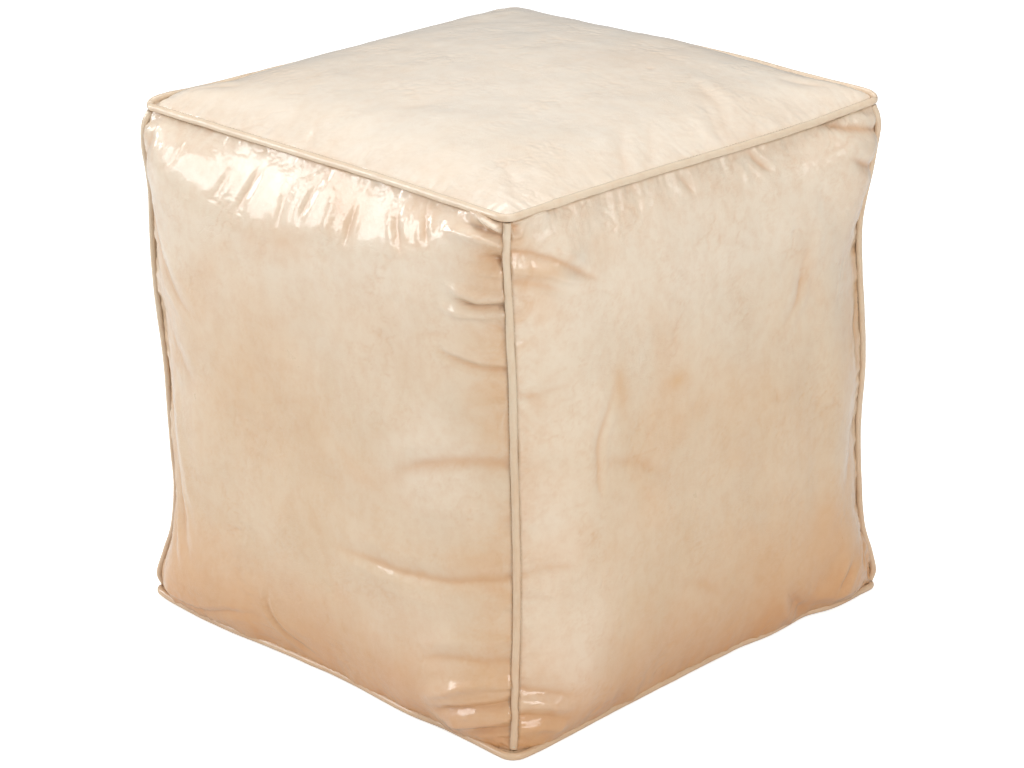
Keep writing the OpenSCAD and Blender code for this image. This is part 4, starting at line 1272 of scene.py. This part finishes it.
def teeth(name, sgn):
    """Separate clamped teeth on a corded edge."""
    bm = bmesh.new()
    shift = PITCH / 2 if sgn > 0 else 0
    w = PITCH * .43
    for i in range(TEETH):
        x = CHAIN_X0 + .4 + w / 2 + shift + i * PITCH
        base = bmesh.ops.create_cube(bm, size=1)["verts"]
        for v in base:
            y01 = v.co.y + .5                      # 0 at the tape side, 1 at the nose
            taper = .8 if y01 > .5 else 1.0
            v.co = Vector((x + v.co.x * w * taper, sgn * (3.3 - y01 * 4.2), cz + v.co.z * 2.3 * (.86 if y01 > .5 else 1)))
    bmesh.ops.bevel(bm, geom=bm.edges[:], offset=.22, segments=2, affect="EDGES", profile=.6)
    # small boss on each nose
    for i in range(TEETH):
        x = CHAIN_X0 + .4 + w / 2 + shift + i * PITCH
        cone = bmesh.ops.create_uvsphere(bm, u_segments=8, v_segments=5, radius=.42)["verts"]
        for v in cone:
            v.co = Vector((x + v.co.x, sgn * -.35 + v.co.y, cz + v.co.z + 1.0))
    bmesh.ops.recalc_face_normals(bm, faces=bm.faces)
    for f in bm.faces:
        f.smooth = True
    me = bpy.data.meshes.new(name)
    bm.to_mesh(me)
    bm.free()
    me.transform(Matrix.Scale(.001, 4))
    o = bpy.data.objects.new(name, me)
    bpy.context.scene.collection.objects.link(o)
    return o


TAPE_F, TAPE_B = tape("zip_tape_woven_front", -1), tape("zip_tape_woven_back", 1)
TEETH_F, TEETH_B = teeth("zip_teeth_set_front", -1), teeth("zip_teeth_set_back", 1)
note("zip done")


# ------------------------------------------------------------------ inner bag and stuffing
def bag(name, inset, z0, z1, seed, n):
    """A stuffed cotton bag that fills the cover, rounded at its corners and dished over the zip."""
    t = spacing(n, .35) * 2 - 1
    faces = []
    start = 0
    h = AB - inset
    zc, hz = (z0 + z1) / 2, (z1 - z0) / 2
    r = 30.0
    allp = []
    for ax in range(3):
        for sg in (-1, 1):
            a, b = np.meshgrid(t, t, indexing="ij")
            p = [None] * 3
            p[ax], p[(ax + 1) % 3], p[(ax + 2) % 3] = np.full_like(a, sg), a, b
            P = np.stack(p, -1) * np.array([h, h, hz])
            core = np.stack([np.clip(P[..., 0], -(h - r), h - r), np.clip(P[..., 1], -(h - r), h - r), np.clip(P[..., 2], -(hz - r), hz - r)], -1)
            d = P - core
            P = core + r * d / np.maximum(1e-6, np.linalg.norm(d, axis=-1, keepdims=True))
            allp.append(P.reshape(-1, 3))
            faces.append(grid_faces(n, n, flip=sg < 0, start=start))
            start += n * n
    P = np.concatenate(allp)
    key = np.round(P, 2)
    _, first, inv = np.unique(key, axis=0, return_index=True, return_inverse=True)
    inv = inv.ravel()
    P = P[first]
    faces = [inv[f] for f in faces]
    F = np.concatenate(faces)
    # into the cover's shape
    u, v, w = P[:, 0] / h, P[:, 1] / h, P[:, 2] / hz
    tt = np.clip((P[:, 2] + hz) / (2 * hz), 0, 1)
    k = (AB + (AT - AB) * tt - 9 * (1 - (2 * tt - 1) ** 2) / S2) / AB
    sw = lambda s: np.maximum(0, 1 - np.abs(s) ** 2.2) ** .8
    bx, by = 11 * sw(v) * sw(w), 11 * sw(u) * sw(w)
    Q = np.stack([P[:, 0] * k + np.sign(u) * np.abs(u) ** 3 * bx, P[:, 1] * k + np.sign(v) * np.abs(v) ** 3 * by,
                  P[:, 2] + zc + np.where(w > 0, w**3, 0) * 14 * sw(u) * sw(v)], -1)
    nrm = Q - np.array([0, 0, zc])
    nrm /= np.linalg.norm(nrm, axis=1, keepdims=True)
    lump = .9 * fractal(Q[:, 0] / 60 + Q[:, 2] / 47, Q[:, 1] / 60 - Q[:, 2] / 53, seed, 3)
    fine = .5 * fractal(Q[:, 0] / 17 + Q[:, 2] / 13, Q[:, 1] / 17 - Q[:, 2] / 15, seed + 5, 2)
    Q = Q + nrm * (lump + fine - 1.6)[:, None]
    dx, dy = np.maximum(0, np.abs(Q[:, 0]) - 178), np.maximum(0, np.abs(Q[:, 1]) - 20)
    dish = (1 - smooth(0, 30, np.hypot(dx, dy))) * (Q[:, 2] < zc)
    Q[:, 2] = np.where(Q[:, 2] < zc, np.maximum(Q[:, 2], z0 + 12.5 * dish + .5 * fine), Q[:, 2])
    return make_object(name, Q, F)


BAG = bag("inner_bag_cotton", 5.0, 2.6, ZT - 5.0, 850, 90)
FILL = bag("stuffing_fibre", 6.6, 4.2, ZT - 6.6, 870, 60)
note("bag done")


# ------------------------------------------------------------------ materials
def new_material(name):
    m = bpy.data.materials.new(name)
    m.use_nodes = True
    m.node_tree.nodes.clear()
    out = m.node_tree.nodes.new("ShaderNodeOutputMaterial")
    bsdf = m.node_tree.nodes.new("ShaderNodeBsdfPrincipled")
    m.node_tree.links.new(bsdf.outputs[0], out.inputs[0])
    return m, m.node_tree, bsdf


class Tree:
    """Short names for the node calls used below."""

    def __init__(self, nt):
        self.nt = nt

    def add(self, kind, **props):
        n = self.nt.nodes.new(kind)
        for k, v in props.items():
            setattr(n, k, v)
        return n

    def link(self, a, b):
        self.nt.links.new(a, b)

    def set(self, socket, value):
        if hasattr(value, "is_output") or isinstance(value, bpy.types.NodeSocket):
            self.link(value, socket)
        else:
            socket.default_value = value

    def noise(self, vec, scale, detail=3, rough=.5, lac=2.0, dist=0.0):
        n = self.add("ShaderNodeTexNoise")
        self.link(vec, n.inputs["Vector"])
        n.inputs["Scale"].default_value = scale
        n.inputs["Detail"].default_value = detail
        n.inputs["Roughness"].default_value = rough
        n.inputs["Distortion"].default_value = dist
        return n.outputs["Fac"]

    def voronoi(self, vec, scale, feature="F1", rnd=1.0):
        n = self.add("ShaderNodeTexVoronoi", feature=feature)
        self.link(vec, n.inputs["Vector"])
        n.inputs["Scale"].default_value = scale
        n.inputs["Randomness"].default_value = rnd
        return n.outputs["Distance"]

    def ramp(self, fac, stops, mode="LINEAR"):
        n = self.add("ShaderNodeValToRGB")
        n.color_ramp.interpolation = mode
        while len(n.color_ramp.elements) < len(stops):
            n.color_ramp.elements.new(.5)
        for e, (p, c) in zip(n.color_ramp.elements, stops):
            e.position = p
            e.color = (*c, 1) if len(c) == 3 else c
        self.link(fac, n.inputs[0])
        return n.outputs[0]

    def math(self, op, a, b=0.0, clamp=False):
        n = self.add("ShaderNodeMath", operation=op, use_clamp=clamp)
        self.set(n.inputs[0], a)
        self.set(n.inputs[1], b)
        return n.outputs[0]

    def remap(self, v, a, b, c=0.0, d=1.0):
        n = self.add("ShaderNodeMapRange", clamp=True)
        self.set(n.inputs[0], v)
        for i, x in enumerate((a, b, c, d)):
            n.inputs[i + 1].default_value = x
        return n.outputs[0]

    def mix(self, fac, a, b, blend="MIX"):
        n = self.add("ShaderNodeMix", data_type="RGBA", blend_type=blend)
        self.set(n.inputs[0], fac)
        for i, x in ((6, a), (7, b)):
            if isinstance(x, tuple):
                n.inputs[i].default_value = (*x, 1)
            else:
                self.link(x, n.inputs[i])
        return n.outputs[2]

    def mapping(self, vec, scale=(1, 1, 1), rot=(0, 0, 0), loc=(0, 0, 0)):
        n = self.add("ShaderNodeMapping")
        self.link(vec, n.inputs[0])
        n.inputs["Location"].default_value = loc
        n.inputs["Rotation"].default_value = rot
        n.inputs["Scale"].default_value = scale
        return n.outputs[0]

    def bump(self, height, strength, distance, normal=None):
        n = self.add("ShaderNodeBump")
        n.inputs["Strength"].default_value = strength
        n.inputs["Distance"].default_value = distance
        self.link(height, n.inputs["Height"])
        if normal is not None:
            self.link(normal, n.inputs["Normal"])
        return n.outputs[0]


def lin(r, g, b):
    f = lambda c: c / 12.92 if c <= .04045 else ((c + .055) / 1.055) ** 2.4
    return (f(r / 255), f(g / 255), f(b / 255))


def leather(name, kind):
    """Vegetable-tanned goat leather with a glossy finish: cream where it is pale, orange-tan low down (partly painted
    shade) and in its clouds, with fine grain, soft creases, and painted shade in the creases and beside the seams."""
    m, nt, bsdf = new_material(name)
    T = Tree(nt)
    co = T.add("ShaderNodeTexCoord").outputs["Object"]
    sep = T.add("ShaderNodeSeparateXYZ")
    T.link(co, sep.inputs[0])
    z = sep.outputs[2]
    near = T.add("ShaderNodeAttribute", attribute_name="near").outputs["Fac"]
    crease = T.add("ShaderNodeAttribute", attribute_name="crease").outputs["Fac"]
    big = T.noise(co, 4.2, 3, .55, dist=.6)
    mid = T.noise(T.mapping(co, (1, 1, .6)), 13, 5, .6, dist=1.2)
    vert = T.noise(T.mapping(co, (1, 1, .28)), 26, 4, .6, dist=.8)
    small = T.noise(co, 95, 4, .65)
    if kind == "top":
        pale, warm, deep = lin(240, 228, 211), lin(230, 208, 182), lin(210, 172, 134)
    elif kind == "base":
        pale, warm, deep = lin(198, 160, 116), lin(182, 138, 92), lin(140, 98, 60)
    else:
        pale, warm, deep = lin(221, 202, 175), lin(206, 174, 136), lin(199, 130, 64)
    cloud = T.math("ADD", T.math("MULTIPLY", T.remap(big, .36, .66), .45), T.math("MULTIPLY", T.remap(mid, .38, .66), .38))
    cloud = T.math("ADD", cloud, T.math("MULTIPLY", T.remap(vert, .44, .68), .22))
    colour = T.mix(T.math("MULTIPLY", cloud, .5 if kind == "top" else .7, clamp=True), pale, warm)
    if kind == "side":
        # darker and more orange towards the foot: partly the hide's deeper dye there, partly painted shade where the
        # leather turns under; paler towards the top
        foot = T.remap(T.math("ADD", z, T.math("MULTIPLY", T.math("SUBTRACT", mid, .5), .12)), .112, .0, 0, 1)
        colour = T.mix(T.math("MULTIPLY", T.math("POWER", foot, 1.15), .95), colour, deep)
        colour = T.mix(T.remap(z, .34, .03, 0, .34), colour, lin(214, 174, 130))
        head = T.remap(z, .24, .45, 0, 1)
        colour = T.mix(T.math("MULTIPLY", head, .70), colour, lin(240, 226, 207))
    elif kind == "piping":
        foot = T.remap(z, .30, .05, 0, 1)
        colour = T.mix(T.math("MULTIPLY", foot, .22), colour, deep)
        head = T.remap(z, .36, .45, 0, 1)
        colour = T.mix(T.math("MULTIPLY", head, .6), colour, lin(236, 218, 194))
        sole = T.remap(z, .012, .004, 0, 1)
        colour = T.mix(T.math("MULTIPLY", sole, .3), colour, lin(222, 192, 154))
    if kind != "piping":
        # the hide is warmer where it was worked hardest, along the seams
        worked = T.math("MULTIPLY", T.remap(near, 46.0, 1.0, 0, 1), T.remap(T.noise(co, 34, 4, .6, dist=.8), .40, .62))
        if kind == "side":
            worked = T.math("MULTIPLY", worked, T.remap(z, .43, .38, .35, 1))
        colour = T.mix(T.math("MULTIPLY", worked, .55 if kind == "side" else .16 if kind == "top" else .3), colour, lin(211, 162, 112) if kind != "base" else deep)
    # orange blushes, as where the hide took more dye
    blush = T.noise(T.mapping(co, (1, 1, 1), loc=(3.1, 1.7, .4)), 8.5, 2, .5, dist=.5)
    colour = T.mix(T.math("MULTIPLY", T.remap(blush, .54, .70), .38 if kind == "side" else .10), colour, lin(219, 173, 128) if kind != "base" else deep)
    if kind in ("side", "top"):
        # dye clouds from TONES, a few of them painted shade beside the uprights
        tone = T.add("ShaderNodeAttribute", attribute_name="tone").outputs["Fac"]
        strength = .85 if kind == "side" else .5
        colour = T.mix(T.remap(tone, .0, 1.0, 0, strength), colour, lin(211, 163, 110) if kind == "side" else lin(226, 196, 162))
        colour = T.mix(T.remap(tone, .0, -1.0, 0, strength), colour, lin(236, 221, 201) if kind == "side" else lin(244, 234, 220))
    # mottle at the scale of the grain, and darker pores
    colour = T.mix(T.math("MULTIPLY", T.remap(small, .42, .72), .16), colour, deep)
    pore = T.voronoi(co, 900)
    colour = T.mix(T.math("MULTIPLY", T.remap(pore, .22, .0), .10), colour, deep)
    # painted shade: darker in the creases, and in the gaps beside the seams
    colour = T.mix(T.math("MULTIPLY", crease, .55 if kind != "top" else .25), colour, lin(203, 150, 100) if kind != "base" else deep)
    edge = T.math("MULTIPLY", T.remap(near, 3.4, .2, 0, 1), .55)
    seam_shade = lin(150, 112, 76) if kind != "base" else lin(84, 56, 34)
    colour = T.mix(edge, colour, seam_shade)
    T.link(colour, bsdf.inputs["Base Color"])
    rough = T.remap(mid, .3, .7, .27, .40)
    rough = T.math("ADD", rough, T.math("MULTIPLY", T.remap(small, .4, .7), .08))
    rough = T.math("ADD", rough, T.math("MULTIPLY", crease, .12))
    if kind == "base":
        rough = T.math("ADD", rough, .15)
    T.link(rough, bsdf.inputs["Roughness"])
    bsdf.inputs["Specular IOR Level"].default_value = .5
    bsdf.inputs["Coat Weight"].default_value = .75 if kind != "base" else .15
    bsdf.inputs["Coat Roughness"].default_value = .115
    bsdf.inputs["Subsurface Weight"].default_value = 0.0
    # relief: pebble of the grain, hair pores, and hairline wrinkles that run in bands
    pebble = T.voronoi(T.mapping(co, (1, 1, 1)), 620, "SMOOTH_F1")
    grain = T.noise(co, 420, 4, .6)
    hair = T.noise(T.mapping(co, (1, 1, 3.2), rot=(0, 0, .4)), 170, 5, .62, dist=1.1)
    band = T.remap(T.noise(co, 17, 2, .5), .44, .62)
    h1 = T.math("ADD", T.math("MULTIPLY", pebble, .5), T.math("MULTIPLY", grain, .6))
    n1 = T.bump(h1, .15, .0005)
    line = T.math("ABSOLUTE", T.math("SUBTRACT", hair, .5))
    hl = T.math("MULTIPLY", T.remap(line, .06, .0, 0, 1), band)
    n2 = T.bump(T.math("MULTIPLY", hl, -1.0), .24 if kind != "base" else .12, .0006, n1)
    # a network of dry creases, in patches
    warp = T.add("ShaderNodeVectorMath", operation="MULTIPLY_ADD")
    wn_ = T.add("ShaderNodeTexNoise")
    T.link(co, wn_.inputs["Vector"])
    wn_.inputs["Scale"].default_value = 55
    T.link(wn_.outputs["Color"], warp.inputs[0])
    warp.inputs[1].default_value = (.012, .012, .012)
    T.link(co, warp.inputs[2])
    net = T.voronoi(warp.outputs[0], 130, "DISTANCE_TO_EDGE")
    patchy = T.remap(T.noise(T.mapping(co, loc=(.7, .2, .9)), 12, 3, .55), .49, .62)
    netline = T.math("MULTIPLY", T.remap(net, .07, .0, 0, 1), patchy)
    n2 = T.bump(T.math("MULTIPLY", netline, -1.0), .24, .0005, n2)
    soft = T.noise(T.mapping(co, (1, 1, .8)), 60, 3, .55, dist=.7)
    n3 = T.bump(soft, .30, .0016, n2)
    T.link(n3, bsdf.inputs["Normal"])
    return m


def fabric(name, a, b, scale, strength=.5, rough=.9, ribs=None):
    """Plain weave: crossing threads over and under each other, with slubs and fuzz."""
    m, nt, bsdf = new_material(name)
    T = Tree(nt)
    co = T.add("ShaderNodeTexCoord").outputs["Object"]

    def wave(vec, rot):
        n = T.add("ShaderNodeTexWave", wave_type="BANDS", bands_direction="X", wave_profile="SIN")
        T.link(T.mapping(vec, rot=rot), n.inputs["Vector"])
        n.inputs["Scale"].default_value = scale
        n.inputs["Distortion"].default_value = .6
        n.inputs["Detail"].default_value = 1
        return n.outputs["Fac"]
    w1, w2, w3 = wave(co, (0, 0, 0)), wave(co, (0, 0, math.pi / 2)), wave(co, (0, math.pi / 2, 0))
    weave = T.math("MAXIMUM", T.math("MULTIPLY", w1, w3), T.math("MULTIPLY", w2, T.math("SUBTRACT", 1.0, w1)))
    fuzz = T.noise(co, 1400, 3, .7)
    cloud = T.noise(co, 22, 4, .6)
    colour = T.mix(T.remap(cloud, .35, .7), a, b)
    # painted shade: darker in the low parts of the weave, between the threads
    colour = T.mix(T.math("MULTIPLY", T.math("SUBTRACT", 1.0, weave), .35), colour, tuple(c * .55 for c in b))
    colour = T.mix(T.math("MULTIPLY", T.remap(fuzz, .5, .75), .25), colour, a)
    T.link(colour, bsdf.inputs["Base Color"])
    T.link(T.remap(fuzz, .3, .7, rough - .12, min(1, rough + .08)), bsdf.inputs["Roughness"])
    bsdf.inputs["Sheen Weight"].default_value = .25
    bsdf.inputs["Sheen Roughness"].default_value = .4
    bsdf.inputs["Specular IOR Level"].default_value = .25
    n1 = T.bump(weave, strength, .0004)
    T.link(T.bump(fuzz, .25, .0002, n1), bsdf.inputs["Normal"])
    return m


def thread_material(name, a, b):
    m, nt, bsdf = new_material(name)
    T = Tree(nt)
    co = T.add("ShaderNodeTexCoord").outputs["Object"]
    n = T.noise(co, 60, 3, .6)
    fine = T.noise(co, 2600, 2, .6)
    T.link(T.mix(T.remap(n, .35, .7), a, b), bsdf.inputs["Base Color"])
    T.link(T.remap(fine, .3, .7, .45, .7), bsdf.inputs["Roughness"])
    bsdf.inputs["Specular IOR Level"].default_value = .4
    T.link(T.bump(fine, .4, .0001), bsdf.inputs["Normal"])
    return m


def metal(name):
    """Dull brass: worn bright and tarnished brown in patches at random, with brushed scratches."""
    m, nt, bsdf = new_material(name)
    T = Tree(nt)
    co = T.add("ShaderNodeTexCoord").outputs["Object"]
    n = T.noise(co, 180, 4, .6, dist=.5)
    s = T.noise(T.mapping(co, (1, 14, 14)), 420, 3, .6)
    colour = T.mix(T.remap(n, .4, .68), lin(196, 160, 96), lin(120, 88, 48))
    T.link(T.mix(T.math("MULTIPLY", T.remap(s, .5, .7), .3), colour, lin(224, 196, 140)), bsdf.inputs["Base Color"])
    bsdf.inputs["Metallic"].default_value = 1.0
    T.link(T.math("ADD", T.remap(n, .3, .7, .28, .5), T.math("MULTIPLY", T.remap(s, .4, .7), .1)), bsdf.inputs["Roughness"])
    T.link(T.bump(T.math("ADD", s, n), .2, .0001), bsdf.inputs["Normal"])
    return m


def fibre(name):
    m, nt, bsdf = new_material(name)
    T = Tree(nt)
    co = T.add("ShaderNodeTexCoord").outputs["Object"]
    n = T.noise(T.mapping(co, (1, 1, .4)), 60, 6, .75, dist=2.5)
    f = T.noise(co, 700, 4, .75, dist=1.5)
    T.link(T.mix(T.remap(n, .35, .7), lin(240, 236, 226), lin(214, 206, 190)), bsdf.inputs["Base Color"])
    T.link(T.remap(f, .3, .7, .85, 1.0), bsdf.inputs["Roughness"])
    bsdf.inputs["Sheen Weight"].default_value = .4
    T.link(T.bump(T.math("ADD", n, f), .7, .0012), bsdf.inputs["Normal"])
    return m


M_TOP, M_SIDE, M_BASE, M_PIPE = leather("leather_top", "top"), leather("leather_side", "side"), leather("leather_base", "base"), leather("leather_piping", "piping")
M_BAG = fabric("cotton_bag", lin(236, 228, 210), lin(214, 202, 178), 420)
M_TAPE = fabric("cotton_tape", lin(186, 160, 122), lin(158, 132, 96), 700, .6)
M_CORD = fabric("cotton_cord", lin(232, 224, 206), lin(206, 194, 170), 500, .4)
M_THREAD = thread_material("waxed_thread", lin(204, 184, 156), lin(176, 152, 124))
M_METAL = metal("old_brass")
M_FIBRE = fibre("stuffing_fibre_mat")


def dress(o, mat):
    o.data.materials.clear()
    o.data.materials.append(mat)


for o, mat, slot, node in (
        [(PANELS[n], M_SIDE, "side_leather", n + "_panel") for n in SIDES]
        + [(PANELS["top"], M_TOP, "top_leather", "top_panel"),
           (UNDER_FRONT, M_BASE, "base_leather", "bottom_panel_front"), (UNDER_BACK, M_BASE, "base_leather", "bottom_panel_back"),
           (TOP_LOOP, M_PIPE, "piping_leather", "top_piping"), (FOOT_LOOP, M_PIPE, "piping_leather", "bottom_piping"),
           (TOP_STITCH, M_THREAD, "thread", "top_seam_thread"), (FOOT_STITCH, M_THREAD, "thread", "bottom_seam_thread"),
           (zip_stitch[0], M_THREAD, "thread", "zip_thread_front"), (zip_stitch[1], M_THREAD, "thread", "zip_thread_back"),
           (TAPE_F, M_TAPE, "zip_tape", "zip_tape_front"), (TAPE_B, M_TAPE, "zip_tape", "zip_tape_back"),
           (TEETH_F, M_METAL, "zip_metal", "zip_teeth_front"), (TEETH_B, M_METAL, "zip_metal", "zip_teeth_back"),
           (BAG, M_BAG, "bag_cotton", "inner_bag"), (FILL, M_FIBRE, "stuffing", "filling")]
        + [(UPRIGHTS[q], M_PIPE, "piping_leather", "corner_piping_" + cn) for q, cn in enumerate(CORNERS)]
        + [(UP_STITCH[q], M_THREAD, "thread", "corner_thread_" + cn) for q, cn in enumerate(CORNERS)]
        + [(o, M_CORD, "piping_cord", node) for node, o in CORDS]):
    dress(o, mat)
    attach(o, "cover")
    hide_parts(node)

for node in ("zip_slider", "zip_pull", "zip_top_stops", "zip_bottom_stop"):
    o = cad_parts[node]
    o.data.materials.clear()
    o.data.materials.append(M_METAL)

# The chain's teeth and tapes each get a mesh of their own.
for o, sgn in ((TEETH_F, -1), (TEETH_B, 1), (TAPE_F, -1), (TAPE_B, 1)):
    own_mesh(o)


# ------------------------------------------------------------------ stage, light and camera
def floor_material():
    m, nt, bsdf = new_material("floor_white")
    T = Tree(nt)
    bsdf.inputs["Base Color"].default_value = (.86, .86, .85, 1)
    bsdf.inputs["Roughness"].default_value = .75
    bsdf.inputs["Specular IOR Level"].default_value = .2
    glow = T.add("ShaderNodeEmission")
    glow.inputs["Color"].default_value = (1, 1, 1, 1)
    path = T.add("ShaderNodeLightPath")
    T.link(T.math("MULTIPLY", path.outputs["Is Camera Ray"], .62), glow.inputs["Strength"])
    add = T.add("ShaderNodeAddShader")
    T.link(bsdf.outputs[0], add.inputs[0])
    T.link(glow.outputs[0], add.inputs[1])
    out = [n for n in nt.nodes if n.type == "OUTPUT_MATERIAL"][0]
    T.link(add.outputs[0], out.inputs[0])
    return m


bm = bmesh.new()
bmesh.ops.create_grid(bm, x_segments=8, y_segments=8, size=9.0)
me = bpy.data.meshes.new("floor")
bm.to_mesh(me)
bm.free()
floor = bpy.data.objects.new("floor", me)
bpy.context.scene.collection.objects.link(floor)
floor.location = (0, 0, 0)
floor.data.materials.append(floor_material())
floor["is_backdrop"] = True

world = bpy.data.worlds.new("studio")
bpy.context.scene.world = world
world.use_nodes = True
wn = world.node_tree
wn.nodes.clear()
bg = wn.nodes.new("ShaderNodeBackground")
bg.inputs["Color"].default_value = (1, 1, 1, 1)
white = wn.nodes.new("ShaderNodeBackground")
white.inputs["Color"].default_value = (1, 1, 1, 1)
white.inputs["Strength"].default_value = 1.0
seen = wn.nodes.new("ShaderNodeLightPath")
both = wn.nodes.new("ShaderNodeMixShader")
wo = wn.nodes.new("ShaderNodeOutputWorld")
wn.links.new(seen.outputs["Is Camera Ray"], both.inputs[0])
# the room is a little darker behind the pouf than in front of it
sky = wn.nodes.new("ShaderNodeTexCoord")
facing = wn.nodes.new("ShaderNodeVectorMath")
facing.operation = "DOT_PRODUCT"
facing.inputs[1].default_value = (-.30, -.90, .25)
wn.links.new(sky.outputs["Generated"], facing.inputs[0])
room = wn.nodes.new("ShaderNodeMapRange")
for i, x in ((1, -.9), (2, .9), (3, .30), (4, .555)):
    room.inputs[i].default_value = x
wn.links.new(facing.outputs["Value"], room.inputs[0])
wn.links.new(room.outputs[0], bg.inputs["Strength"])
wn.links.new(bg.outputs[0], both.inputs[1])
wn.links.new(white.outputs[0], both.inputs[2])
wn.links.new(both.outputs[0], wo.inputs[0])


def softbox(name, pos, target, size, watts, colour=(1, 1, 1)):
    light = bpy.data.lights.new(name, "AREA")
    light.shape = "ELLIPSE"
    light.size, light.size_y = size
    light.energy = watts
    light.color = colour
    o = bpy.data.objects.new(name, light)
    bpy.context.scene.collection.objects.link(o)
    o.location = pos
    o.rotation_euler = (Vector(target) - Vector(pos)).to_track_quat("-Z", "Y").to_euler()
    return o


softbox("key", (-1.50, -1.70, 1.00), (0, 0, .36), (.92, .95), 12.5, (.94, .97, 1.0))
softbox("key_side", (-2.08, -0.92, 1.06), (0, 0, .36), (.58, .82), 10, (.94, .97, 1.0))
softbox("fill", (2.1, -0.9, 1.5), (0, 0, .25), (1.2, 1.2), 24)
softbox("sheen", (2.06, 0.91, 0.98), (0, 0, .4), (.7, .6), 3.0)
softbox("overhead", (-0.2, 0.1, 2.6), (0, 0, .3), (2.0, 2.0), 26.5)

# Camera: the photograph's view, in millimetres about the cube's middle.
AZ, EL, ROLL = math.radians(45.784), math.radians(21.727), math.radians(-.678)
DIST, PAN_X, PAN_Y, FOCAL = 5.897 * 440, -.004 * 440, -.062 * 440, 3049.0
back = Vector((math.sin(AZ) * math.cos(EL), -math.cos(AZ) * math.cos(EL), math.sin(EL)))
right = Vector((math.cos(AZ), math.sin(AZ), 0))
up = back.cross(right)
R = math.cos(ROLL) * right + math.sin(ROLL) * up
U = -math.sin(ROLL) * right + math.cos(ROLL) * up
centre = PAN_X * right + PAN_Y * up + Vector((0, 0, (ZB + ZT) / 2)) + back * DIST
cam = bpy.data.cameras.new("camera")
cam.sensor_width = 36
cam.lens = FOCAL / 1024 * 36
cam.clip_end = 50
camera = bpy.data.objects.new("camera", cam)
bpy.context.scene.collection.objects.link(camera)
camera.matrix_world = Matrix(((R.x, U.x, back.x, centre.x / 1000), (R.y, U.y, back.y, centre.y / 1000), (R.z, U.z, back.z, centre.z / 1000), (0, 0, 0, 1)))
bpy.context.scene.camera = camera
bpy.context.scene.view_settings.view_transform = "Standard"

lo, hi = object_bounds()
note(f"CAD box {[round(v, 4) for v in CAD_LO]} {[round(v, 4) for v in CAD_HI]}, visual {[round(v, 4) for v in lo]} {[round(v, 4) for v in hi]}")
